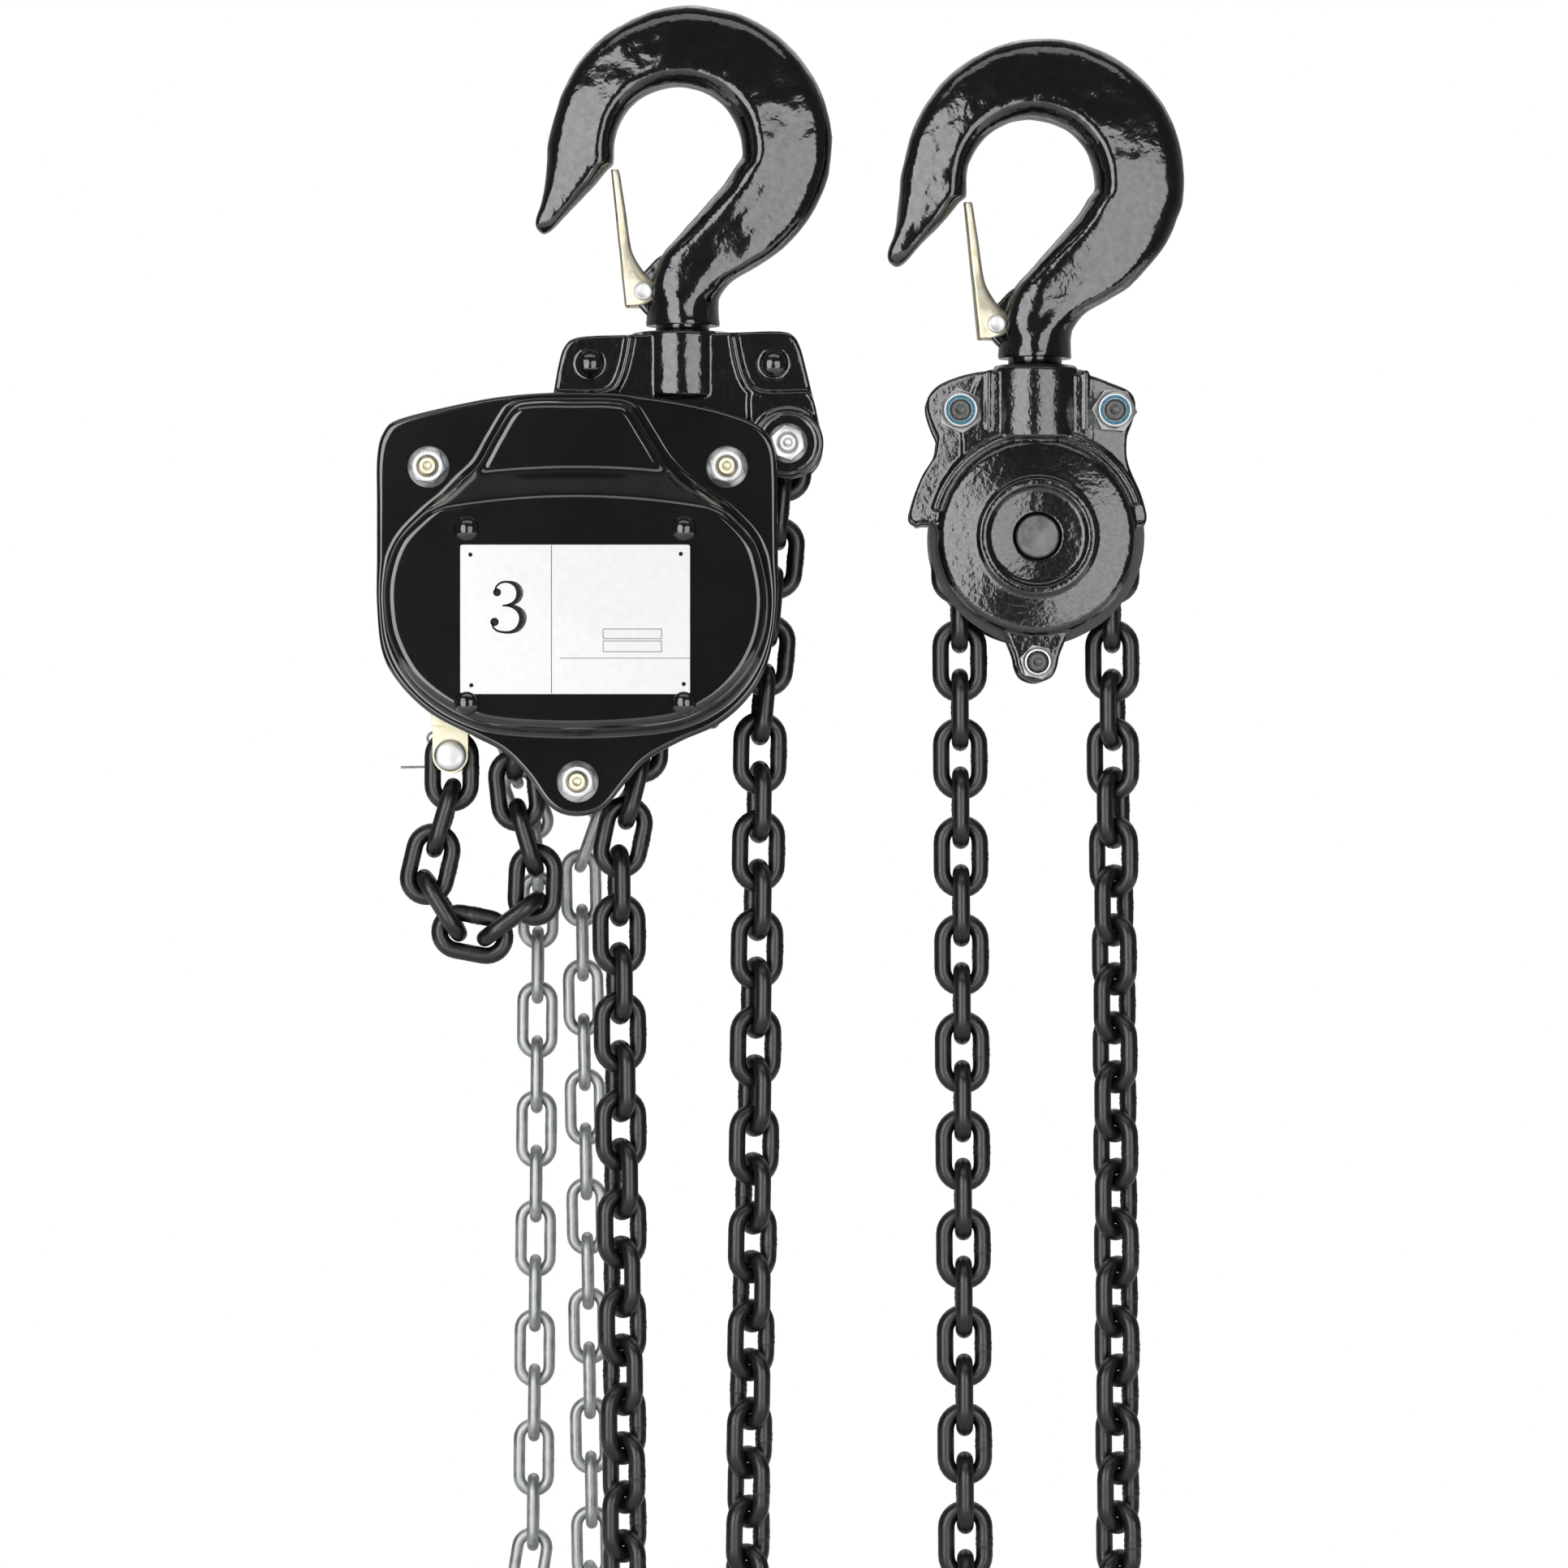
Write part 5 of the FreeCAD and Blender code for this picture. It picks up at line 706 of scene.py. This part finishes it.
# side plates: flat sheets of the covers' outline, seen between and below them
for node, back, front in (("side_plate_front", -PLATE_INNER, -PLATE_OUTER),
                          ("side_plate_rear", PLATE_OUTER, PLATE_INNER)):
    shape = drawn(tablet, moved(cover_outline(3.2), MAIN_AXIS), back, front, 0.6)
    piece(node + "_sheet", shape, node, pressed, sharp=40)


# --- yoke, two drop forgings that clasp the hook's shank: ears, lugs with raised faces, half a barrel
YOKE_LUG = [
    (59.5, -153), (57, -160.5), (51, -165.8), (44.6, -167.3), (37.5, -165.8), (32, -161),
    (29.6, -153.5), (26, -146), (19, -143)]
YOKE_EDGE = [
    (-58.4, -146), (-54.6, -133), (-52.2, -120), (-49.6, -111.6), (-43.6, -107.4), (-23.3, -106.4),
    (0, -106), (22.2, -105.4), (41, -104.9), (47, -106.8), (50, -112), (52.3, -120.5),
    (55.3, -133.0), (58.4, -146.0), *YOKE_LUG, (0, -142.5), *((-x, z) for x, z in YOKE_LUG[::-1])]
LUG_PAD = [
    (28.6, -131.4), (34, -132.4), (44, -132.3), (54.4, -132), (57.9, -146), (59, -153),
    (56.4, -160.3), (50.6, -165.3), (44.6, -166.8), (37.8, -165.3), (32.4, -160.6), (30, -153.5),
    (28.4, -142)]
POCKET_BEAD = [
    (21.8, -107), (22.6, -112), (23.8, -118), (25.6, -124), (28.4, -129), (32.5, -131.3),
    (38, -131.9), (46, -131.8), (53.2, -131.5)]
LUG_RING = [
    (12.7, -12.6), (12.7, -20.2), (13.2, -20.9), (14.6, -20.9), (15.1, -20.2), (15.1, -12.6)]
RIVET_DOME = [
    (0.001, -22.5), (1.6, -22.4), (3.2, -21.9), (4.6, -21), (5.6, -19.8), (6.1, -18.9),
    (6.5, -18.75), (7.3, -18.75), (7.6, -18.45), (5, -18.45), (5, -12.5), (8, -12.45)]
SHANK_BORE = 11.35
BEAD = 1.5


def yoke_half_form(shape):
    tablet(shape, smooth_line(YOKE_EDGE, 4), -12.5, -18.5, 1.3)
    for side in (-1, 1):
        pad = smooth_line([(side * x, z) for x, z in LUG_PAD], 4)
        tablet(shape, pad[::side], -12.6, -19.8, 0.8)
        bead = smooth_line(POCKET_BEAD, 4, closed=False)
        bar_along(shape, [(side * x, -18.7, z) for x, z in bead], BEAD)
        turned_form(shape, LUG_RING, side * ANCHOR[0], ANCHOR[1], hollow=True)
    half_barrel(shape, 0, 22, SHANK_BORE, -132.6, -104.6)


cast_pair(("yoke_front_forging", "yoke_rear_forging"), ("yoke_front_half", "yoke_rear_half"),
          drawn(yoke_half_form), forged)

# rivets through the ears: high domes pressed over a shallow ring, and the sleeves between the ears
shape = bmesh.new()
for x, z in YOKE_RIVETS:
    turned_form(shape, RIVET_DOME + [(r, -y) for r, y in reversed(RIVET_DOME)], x, z, count=48)
piece("yoke_rivet_domes", shape, "yoke_rivets", forged, sharp=40)

shape = bmesh.new()
nut_form(shape, *ANCHOR, -20.7, -1, 13, 5.2, 4.0, brim=8.3, spin=0.2)
nut_form(shape, *ANCHOR, 20.7, 1, 13, 5.6, 0.01, spin=0.3)
turned_form(shape, [(0.001, -20.6), (4, -20.6), (4, 20.8), (0.001, 20.8)], *ANCHOR, count=36)
bolt_end(shape, *ANCHOR, 4.0, -20.5, -26.6)
piece("anchor_bolt_and_nut", shape, "anchor_bolt", zinc)

# --- flange nuts on the ends of the studs, in front on the cover and behind on the wheel cover
nuts, rods = bmesh.new(), bmesh.new()
for i, (x, z) in enumerate(STUDS):
    nut_form(nuts, x, z, -FLANGE_FACE, -1, 13, 7.6, 4.05, brim=8.7, spin=0.35 + i * 0.9)
    nut_form(nuts, x, z, FLANGE_FACE, 1, 13, 7.6, 4.05, brim=8.7, spin=0.1 + i * 0.7)
    turned_form(rods, [(0.001, -34), (3.95, -34), (3.95, -21), (6, -21), (6, 21), (3.95, 21),
                       (3.95, 34), (0.001, 34)], x, z, count=36)
    for side in (-1, 1):
        bolt_end(rods, x, z, 4.0, side * 33.9, side * 38.4)
piece("cover_flange_nuts", nuts, "cover_nuts", zinc, sharp=24)
piece("stay_stud_rods", rods, "stay_studs", straw)

# --- rivets of the bearing plate, their heads on the face of the bulge
shape = bmesh.new()
for x, z in COVER_RIVETS:
    turned_form(shape, [(0.001, -62.7), (1.5, -62.6), (2.9, -62.1), (4.1, -61.3), (4.85, -60.4),
                        (5.1, -59.9), (5.3, -59.5), (2.6, -59.4), (2.6, -53.5), (0.001, -53.5)],
                x, z, count=48)
piece("cover_rivet_domes", shape, "cover_rivets", forged, sharp=40)

# --- rating plate: white enamelled sheet with plain rules, blank boxes and one numeral
PLATE_SEAT, PLATE_FACE = -59.7, -60.7
PLATE_HALF, PLATE_TOP, PLATE_FOOT = 47.6, 29.45, -32.45
BOX_LEFT, BOX_RIGHT = 11.6, 35.8


def rounded_corners(left, right, foot, top, radius):
    line = []
    for x, z, first in ((right, top, 0), (left, top, 90), (left, foot, 180), (right, foot, 270)):
        cx = x - copysign(radius, x - (left + right) / 2)
        cz = z - copysign(radius, z - (foot + top) / 2)
        for step in range(5):
            a = radians(first + step * 22.5)
            line.append((cx + radius * cos(a), cz + radius * sin(a)))
    return line


sheet = moved(rounded_corners(-PLATE_HALF, PLATE_HALF, PLATE_FOOT, PLATE_TOP, 0.9), MAIN_AXIS)
piece("rating_plate_sheet", drawn(tablet, sheet, PLATE_SEAT, PLATE_FACE, 0.15), "rating_plate", white)
shape = bmesh.new()
for x, z in PLATE_PINS:
    turned_form(shape, [(0.001, -61.1), (0.5, -61.05), (0.85, -60.85), (0.9, -60.6), (0.001, -60.6)],
                x, z, count=20)
piece("rating_plate_pins", shape, "rating_plate", drive_pin, replace=False)


def printed(shape, line, height=0.05):
    tablet(shape, moved(line, MAIN_AXIS), PLATE_FACE, PLATE_FACE - height)


def rule(shape, x0, z0, x1, z1, wide):
    """A printed line, upright or level."""
    dx, dz = (wide / 2, 0) if x0 == x1 else (0, wide / 2)
    line = [(x0 - dx, z0 - dz), (x1 + dx, z0 - dz), (x1 + dx, z1 + dz), (x0 - dx, z1 + dz)]
    printed(shape, line, 0.04)


# the numeral's stroke: place in its own box, 0 to 1, and its width in millimetres
NUMERAL = [
    (0.17, 0.80, 0.7), (0.20, 0.90, 0.8), (0.33, 0.975, 0.9), (0.50, 0.985, 1), (0.68, 0.94, 2),
    (0.79, 0.83, 2.9), (0.78, 0.69, 2.7), (0.66, 0.585, 1.7), (0.46, 0.535, 0.8), (0.36, 0.53, 0.8),
    (0.50, 0.528, 0.9), (0.70, 0.49, 2), (0.85, 0.385, 3), (0.875, 0.25, 3.1), (0.78, 0.10, 2.4),
    (0.60, 0.025, 1.4), (0.42, 0.015, 1), (0.22, 0.045, 0.9), (0.11, 0.12, 0.8), (0.10, 0.20, 0.7)]
NUMERAL_BALLS = ((0.215, 0.785, 1.65), (0.15, 0.215, 1.75))
NUMERAL_BOX = (-35.8, -7.2, 16.1, 21.5)


def numeral_form(shape):
    left, foot, wide, high = NUMERAL_BOX
    stroke = smooth_line([(left + u * wide, foot + v * high, w) for u, v, w in NUMERAL], 8,
                         closed=False)
    for (x0, z0, w0), (x1, z1, w1) in zip(stroke, stroke[1:]):
        run = hypot(x1 - x0, z1 - z0)
        if run < 0.01:
            continue
        ax, az = -(z1 - z0) / run, (x1 - x0) / run
        printed(shape, [(x + side * ax * w / 2, z + side * az * w / 2) for x, z, w, side in (
            (x0, z0, w0, -1), (x1, z1, w1, -1), (x1, z1, w1, 1), (x0, z0, w0, 1))])
    for u, v, radius in NUMERAL_BALLS:
        printed(shape, circle(radius, left + u * wide, foot + v * high, 28))


shape = drawn(numeral_form)
rule(shape, -9.8, PLATE_TOP - 0.3, -9.8, PLATE_FOOT + 0.3, 0.28)
rule(shape, -6.3, -17.6, 47.4, -17.6, 0.22)
for foot, top in ((-9.5, -5.5), (-14.9, -10.5)):
    for level in (foot, top):
        rule(shape, BOX_LEFT, level, BOX_RIGHT, level, 0.25)
    for place in (BOX_LEFT, BOX_RIGHT):
        rule(shape, place, foot, place, top, 0.25)
piece("rating_plate_print", shape, "rating_plate", ink, sharp=0, replace=False)

# --- lower block, two castings: domed disc with a raised ring, barrel, wings and a foot lug
WINGS = [
    (-19.4, 70), (-37.5, 66), (-45, 60.5), (-46.4, 54.4), (-44, 46.4), (-41.5, 40.2), (-43, 33.8),
    (-48.4, 25.4), (-52.5, 14.5), (-53.6, 8.3), (-50.5, 5.6), (-45.5, 6.2), (-42, 3.5), (-41.6, -7),
    (-37.2, -20), (-27.5, -31.6), (-14, -39.4), (0, -42), (14, -39.4), (27.5, -31.6), (37.2, -20),
    (41, -7), (40.2, 1.5), (43, 3.4), (45.8, 5.6), (46, 10.3), (43.4, 19.2), (39.2, 28.2),
    (37.5, 35.2), (38, 42), (40.6, 49.3), (41.7, 55.4), (39.6, 60.9), (32.4, 64.4), (15.4, 69.3)]
LEFT_BEAD = [(-40.6, 40.8), (-42, 33.6), (-47.2, 25), (-51.1, 14.5), (-52.2, 8.4)]
RIGHT_BEAD = [(36.6, 42.4), (36.4, 35), (38.1, 27.8), (42.2, 18.8), (44.8, 10.2), (44.9, 7)]
DISC = [
    (9.6, -17.6), (41, -17.6), (41.6, -19), (41.4, -21.6), (40.6, -23.4), (39, -24.3),
    (36.5, -24.8), (25.1, -26.9), (24.7, -27.9), (24.1, -28.4), (21.6, -28.4), (21, -27.9),
    (20.5, -26.9), (19.4, -26.5), (12, -25.6), (10.2, -25.6), (9.6, -25)]
FOOT_LUG = [(15, -36), (12.6, -42), (9.4, -50), (8.5, -54.5), (6, -59.2)]
WING_LEAN, WING_ROOT = tan(radians(8)), 22
CASTING_BACK, CASTING_FACE = -17.5, -22
ARCH_RADIUS = 44.2
BOLT_SIDE, BOLT_HEIGHT, FOOT_BOLT_HEIGHT = 32.4, 52.9, -52.8


def bowed_barrel(shape, half, foot, bow, low, high):
    """The front of an upright barrel: a shallow bow in front of the plate it is cast on."""
    bx, bz = BLOCK_AXIS
    radius = (half ** 2 + bow ** 2) / (2 * bow)
    span = asin(half / radius)
    rings = []
    for shrink, z in ((1.0, low), (0, low + 1.0), (0, high - 0.8), (0.8, high)):
        reach = radius - shrink
        front = [(bx + reach * sin(t), foot + radius - bow - reach * cos(t), bz + z)
                 for t in np.linspace(-span, span, 31)]
        rings.append(front + [(bx + half * 0.9, -14, bz + z), (bx - half * 0.9, -14, bz + z)])
    skin(shape, rings)


def block_half_form(shape):
    bx, bz = BLOCK_AXIS
    outline = smooth_line(WINGS, 4)
    middle = [(min(max(x, -24), 24), z) if z > 6 else (x, z) for x, z in outline]
    tablet(shape, moved(middle, BLOCK_AXIS), CASTING_BACK, CASTING_FACE, 1.3)
    for side in (-1, 1):
        wing = [(side * max(side * x, 20), z) for x, z in outline if z > 0]
        before = set(shape.verts)
        tablet(shape, moved(wing, BLOCK_AXIS), CASTING_BACK, CASTING_FACE, 1.3)
        for vert in set(shape.verts) - before:
            vert.co.y += WING_LEAN * max(side * (vert.co.x - bx) - WING_ROOT, 0)
    turned_form(shape, DISC, bx, bz, count=128, hollow=True)
    bar_along(shape, [(bx + ARCH_RADIUS * cos(a), -21.3, bz + ARCH_RADIUS * sin(a))
                      for a in np.linspace(0.32, pi - 0.26, 60)], 1.9)
    for bead in (LEFT_BEAD, RIGHT_BEAD):
        bar_along(shape, [(bx + x, -20.6 + WING_LEAN * (abs(x) - WING_ROOT), bz + z)
                          for x, z in smooth_line(bead, 4, closed=False)], BEAD)
    half_barrel(shape, bx, 21.5, SHANK_BORE, bz + 44, bz + 71.4)
    half_barrel(shape, bx, 17.6, SHANK_BORE, bz + 44, bz + 73.3, 0.6)
    bowed_barrel(shape, 17.0, -20.6, 6.6, 41.5, 71.6)
    for side in (-1, 1):
        bar_along(shape, [(bx + side * 20.6, -21.2, bz + z) for z in np.linspace(45.5, 69.6, 6)], BEAD)
    lug = [(-x, z) for x, z in FOOT_LUG] + [(0, -61.3)] + FOOT_LUG[::-1] + [(0, -33)]
    tablet(shape, moved(smooth_line(lug, 4), BLOCK_AXIS), CASTING_BACK, CASTING_FACE, 1.2)
    tablet(shape, circle(6.2, bx, bz + FOOT_BOLT_HEIGHT), -HALVES_GAP, -21)
    web = [(-6, FOOT_BOLT_HEIGHT), (6, FOOT_BOLT_HEIGHT), (6, -46.2), (-6, -46.2)]
    tablet(shape, moved(web, BLOCK_AXIS), -HALVES_GAP, -20)
    for x in (-BOLT_SIDE, BOLT_SIDE):
        tablet(shape, circle(8, bx + x, bz + BOLT_HEIGHT), -HALVES_GAP, -20)


cast_pair(("block_front_casting", "block_rear_casting"), ("block_plate_front", "block_plate_rear"),
          drawn(block_half_form), cast)

axle = [(0.001, -28.1), (8.4, -28.1), (9.1, -27.5), (9.2, 27.5), (8.4, 28.2), (0.001, 28.2)]
piece("block_axle_bar", drawn(turned_form, axle, *BLOCK_AXIS, count=72), "block_axle", sawn)

# bolts of the block: place, width across flats, seat, bolt's radius and turn. The two lock nuts
# above have a nylon ring, the nut on the foot lug is crimped
BLOCK_BOLTS = [
    (-BOLT_SIDE, BOLT_HEIGHT, 16.5, 21, 4.4, 0.1), (BOLT_SIDE, BOLT_HEIGHT, 16.5, 21, 4.4, 0.45),
    (0.0, FOOT_BOLT_HEIGHT, 13, 22, 4.0, 0.3)]
NYLON_BORE = 4.5
nuts, ends, rings = bmesh.new(), bmesh.new(), bmesh.new()
for x, z, across, seat, radius, spin in BLOCK_BOLTS:
    x, z = BLOCK_AXIS[0] + x, BLOCK_AXIS[1] + z
    nut_form(nuts, x, z, -seat, -1, across, across * 0.36, NYLON_BORE + 0.2,
             collar=across * 0.17, spin=spin)
    nut_form(nuts, x, z, seat, 1, across, across * 0.34, 0.01, spin=spin * 2)
    turned_form(nuts, [(0.001, -23), (4, -23), (4, 22.5), (0.001, 22.5)], x, z, count=32)
    bolt_end(ends, x, z, radius, -22.5, -seat - across * 0.56)
    if z > BLOCK_AXIS[1]:
        face = -seat - across * 0.5
        turned_form(rings, [(NYLON_BORE, face + 2), (NYLON_BORE, face + 0.3),
                            (NYLON_BORE + 0.4, face), (6.2, face - 0.1), (6.5, face + 0.3),
                            (6.5, face + 2)], x, z, count=56, hollow=True)
piece("block_lock_nuts", nuts, "block_bolts", zinc, sharp=24)
piece("block_bolt_ends", ends, "block_bolts", thread_black, replace=False)
piece("block_nut_nylon", rings, "block_bolts", nylon, replace=False)


# --- chains: every link is drawn anew where the frame's link lies, with its butt weld
def link_mesh(wire, pitch, inner_width, weld):
    """Rings of a round-steel link along its centre line, lying in XZ; the weld is on its +x side."""
    radius, bend = wire / 2, (inner_width + wire) / 2
    half = pitch / 2 + radius - bend
    route = [(bend, half * share, 0.0) for share in np.linspace(-1, 1, 13)[:-1]]
    route += [(bend * cos(turn), half + bend * sin(turn), turn)
              for turn in np.linspace(0, pi, 15)[:-1]]
    route += [(-bend, half * share, pi) for share in np.linspace(1, -1, 7)[:-1]]
    route += [(bend * cos(turn), -half + bend * sin(turn), turn)
              for turn in np.linspace(pi, 2 * pi, 15)[:-1]]
    points, around = [], np.linspace(0, 2 * pi, 16, endpoint=False)
    for x, z, turn in route:
        swell = 0.0
        if turn == 0.0:
            swell = weld * exp(-(z / 1.6) ** 2) - weld * 0.9 * exp(-(z / 0.35) ** 2)
        for a in around:
            reach = (radius + swell) * cos(a)
            points.append((x + reach * cos(turn), (radius + swell) * sin(a),
                           z + reach * sin(turn)))
    rings, steps = len(route), len(around)
    faces = [(i * steps + j, i * steps + (j + 1) % steps, (i + 1) % rings * steps + (j + 1) % steps,
              (i + 1) % rings * steps + j) for i in range(rings) for j in range(steps)]
    return np.array(points), np.array(faces)


def link_places(shown):
    """Middle and axes (wide, flat, long) of each loose link of a CAD chain."""
    mesh = shown.data
    spots = np.empty(len(mesh.vertices) * 3)
    mesh.vertices.foreach_get("co", spots)
    spots = spots.reshape(-1, 3)
    _, joined = np.unique(spots.round(7), axis=0, return_inverse=True)
    joined = joined.reshape(-1)
    mesh.calc_loop_triangles()
    corners = np.empty(len(mesh.loop_triangles) * 3, int)
    mesh.loop_triangles.foreach_get("vertices", corners)
    corners = joined[corners].reshape(-1, 3)
    # points that share a triangle get the least number among them, until nothing changes
    owner = np.arange(joined.max() + 1)
    while True:
        fresh = owner.copy()
        np.minimum.at(fresh, corners.reshape(-1), np.repeat(owner[corners].min(axis=1), 3))
        fresh = fresh[fresh]
        if (fresh == owner).all():
            break
        owner = fresh
    place_of = np.zeros((joined.max() + 1, 3))
    place_of[joined] = spots
    a, b, c = (place_of[corners[:, k]] for k in range(3))
    areas = np.linalg.norm(np.cross(b - a, c - a), axis=1)
    middles, owners = (a + b + c) / 3, owner[corners[:, 0]]
    places = []
    for one in np.unique(owners):
        mine = owners == one
        weight = areas[mine] / areas[mine].sum()
        centre = weight @ middles[mine]
        spread = (middles[mine] - centre) * np.sqrt(weight)[:, None]
        _, axes = np.linalg.eigh(spread.T @ spread)
        wide, long = axes[:, 1], axes[:, 2]
        wide = wide * (1 if wide[0] + wide[1] * 0.9 > 0 else -1)
        places.append((centre, np.column_stack([wide, np.cross(long, wide), long])))
    return places


# wire, pitch, inner width and height of the weld
LOAD_CHAIN, HAND_CHAIN = (7.1, 21, 9.0, 0.35), (5, 24, 7.6, 0.2)
BLEND_MARGIN = 40 * MM


def chain_piece(node, measures, finish):
    points, faces = link_mesh(*measures)
    all_points, all_faces = [], []
    for i, (centre, axes) in enumerate(link_places(frame["nodes"][node])):
        all_points.append(points * MM @ axes.T + centre)
        all_faces.append(faces + i * len(points))
    all_points = np.vstack(all_points)
    mesh = bpy.data.meshes.new(node + "_welded")
    mesh.from_pydata(all_points.tolist(), [], np.vstack(all_faces).tolist())
    mesh.shade_smooth()
    mesh.materials.append(finish)
    span = None
    if node == "load_chain_block_falls":
        # the falls to the block get a span, a margin in from their top and their foot on the block's
        # axis, and ride no body
        top, foot = all_points[:, 2].max() - BLEND_MARGIN, all_points[:, 2].min() + BLEND_MARGIN
        span = (BLOCK_AXIS[0] * MM, 0, top), (BLOCK_AXIS[0] * MM, 0, foot)
    shown_as(node + "_welded", mesh, node, span=span)


for stretch in ("falls", "slack_loop", "bights", "on_load_sheave", "on_block_sheave", "block_falls"):
    chain_piece("load_chain_" + stretch, LOAD_CHAIN, chain_black)
for stretch in ("falls", "on_wheel"):
    chain_piece("hand_chain_" + stretch, HAND_CHAIN, tumbled)

# --- pin of the chain's tail, with its upset head in front and a split pin behind
shape = bmesh.new()
turned_form(shape, [(0.001, -11.4), (3.5, -11.3), (5.6, -10.9), (6.5, -10.2), (6.8, -9.4), (6.7, -8.6),
                    (4, -8.4), (4, 13), (3.4, 13.6), (0.001, 13.6)], *TAIL_PIN, count=48)
piece("tail_pin_turned", shape, "tail_pin", zinc, sharp=50)
SPLIT_PIN_BACK = 10.9
EYE, EYE_RADIUS = (-106.4, -276.2), 2.4
eye = [(EYE[0] + EYE_RADIUS * cos(a), EYE[1] + EYE_RADIUS * sin(a))
       for a in np.linspace(-1.2, 4.0, 22)]
legs = [(-94, -286.2), (-99, -286.8), (-104, -287.9), (-109, -288.4), (-120.2, -288.6)]
shape = bmesh.new()
bar_along(shape, at_y([(-103.0, -280.8)] + eye + [(-104.6, -281.4)], SPLIT_PIN_BACK), 0.55, 10)
bar_along(shape, at_y(legs, SPLIT_PIN_BACK), 0.5, 10)
piece("tail_split_pin", shape, "tail_pin", spring, replace=False)

# --- the frame's own solids that stay: their edges broken as a file or a press leaves them
for node, width in (("tail_bracket", 0.4), ("hand_wheel", 0.7), ("load_sheave", 0.5),
                    ("block_sheave", 0.5), ("chain_stripper", 0.4), ("wheel_nut", 0.5)):
    shown = frame["nodes"][node]
    shown.modifiers.new("join", "WELD").merge_threshold = 0.002 * MM
    edge = shown.modifiers.new("edge", "BEVEL")
    edge.width, edge.segments, edge.use_clamp_overlap = width * MM, 2, True
    edge.limit_method, edge.angle_limit = "ANGLE", radians(40)


# --- floor, white surroundings and soft studio lamps
FLOOR_RADIUS, FLOOR_DROP = 1.5, 30 * MM
WHITE = (1, 1, 1, 1)
floor_mesh = bmesh.new()
bmesh.ops.create_circle(floor_mesh, cap_ends=True, segments=64, radius=FLOOR_RADIUS)
floor_data = bpy.data.meshes.new("floor")
floor_mesh.to_mesh(floor_data)
floor_mesh.free()
floor = in_scene("floor", floor_data)
floor.location = (VIEW_CENTRE.x, 0, cad_box[0][2] - FLOOR_DROP)
# pale paper that fades to white towards its rim and lights the hoist only as paper does
floor_finish, tree, place = new_finish("pale_studio_floor")
reach = add(tree, "VectorMath", {"Vector": place}, operation="LENGTH").outputs["Value"]
fade = add(tree, "MapRange", {"Value": reach, "From Min": 0.5, "From Max": FLOOR_RADIUS - 0.05})
seen = add(tree, "LightPath").outputs
glossy = add(tree, "Math", {0: seen["Is Camera Ray"], 1: seen["Is Glossy Ray"]}, operation="ADD")
clear = add(tree, "Math", {0: glossy, 1: seen["Is Transmission Ray"]}, operation="ADD")
share = add(tree, "Math", {0: clear, 1: fade}, operation="MULTIPLY", use_clamp=True)
paper = add(tree, "BsdfDiffuse", {"Color": linear("#f4f4f2")})
glow = add(tree, "Emission", {"Color": WHITE, "Strength": 1.0})
mix = add(tree, "MixShader", {0: share, 1: paper, 2: glow})
add(tree, "OutputMaterial", {"Surface": mix})
floor_data.materials.append(floor_finish)

world = bpy.data.worlds.new("studio")
bpy.context.scene.world = world
world.use_nodes = True
tree = world.node_tree
tree.nodes.clear()
around = add(tree, "SeparateXYZ", {"Vector": add(tree, "TexCoord").outputs["Generated"]})
behind = add(tree, "MapRange", {"Value": around.outputs["Y"], "From Min": -0.2, "From Max": 0.9,
                                "To Min": 0.07, "To Max": 0.3})
fill = add(tree, "Background", {"Color": WHITE, "Strength": behind})
clean = add(tree, "Background", {"Color": WHITE, "Strength": 1.0})
seen = add(tree, "LightPath").outputs["Is Camera Ray"]
mix = add(tree, "MixShader", {0: seen, 1: fill, 2: clean})
add(tree, "OutputWorld", {"Surface": mix})


def softbox(name, azimuth, elevation, distance, width, height, watts):
    """A soft lamp that looks at the middle of the view; azimuth 0 stands behind the camera."""
    lamp = bpy.data.lights.new(name, "AREA")
    lamp.shape, lamp.size, lamp.size_y, lamp.energy = "RECTANGLE", width, height, watts
    holder = in_scene(name, lamp)
    a, e = radians(azimuth), radians(elevation)
    away = Vector((sin(a) * cos(e), -cos(a) * cos(e), sin(e)))
    holder.location = VIEW_CENTRE + away * distance
    holder.rotation_euler = away.to_track_quat("Z", "Y").to_euler()


softbox("lamp_left", -28, 1.2, 2.1, 1.22, 2.2, 27.5)
softbox("lamp_right", 23, -2.2, 2.1, 1.12, 1.65, 15)
softbox("lamp_above", 0, 58, 2.1, 2.4, 0.8, 7)
softbox("lamp_back_left", -150, 48, 2.6, 2.2, 2.0, 9)
softbox("lamp_back_right", 150, 48, 2.6, 2.2, 2.0, 9)
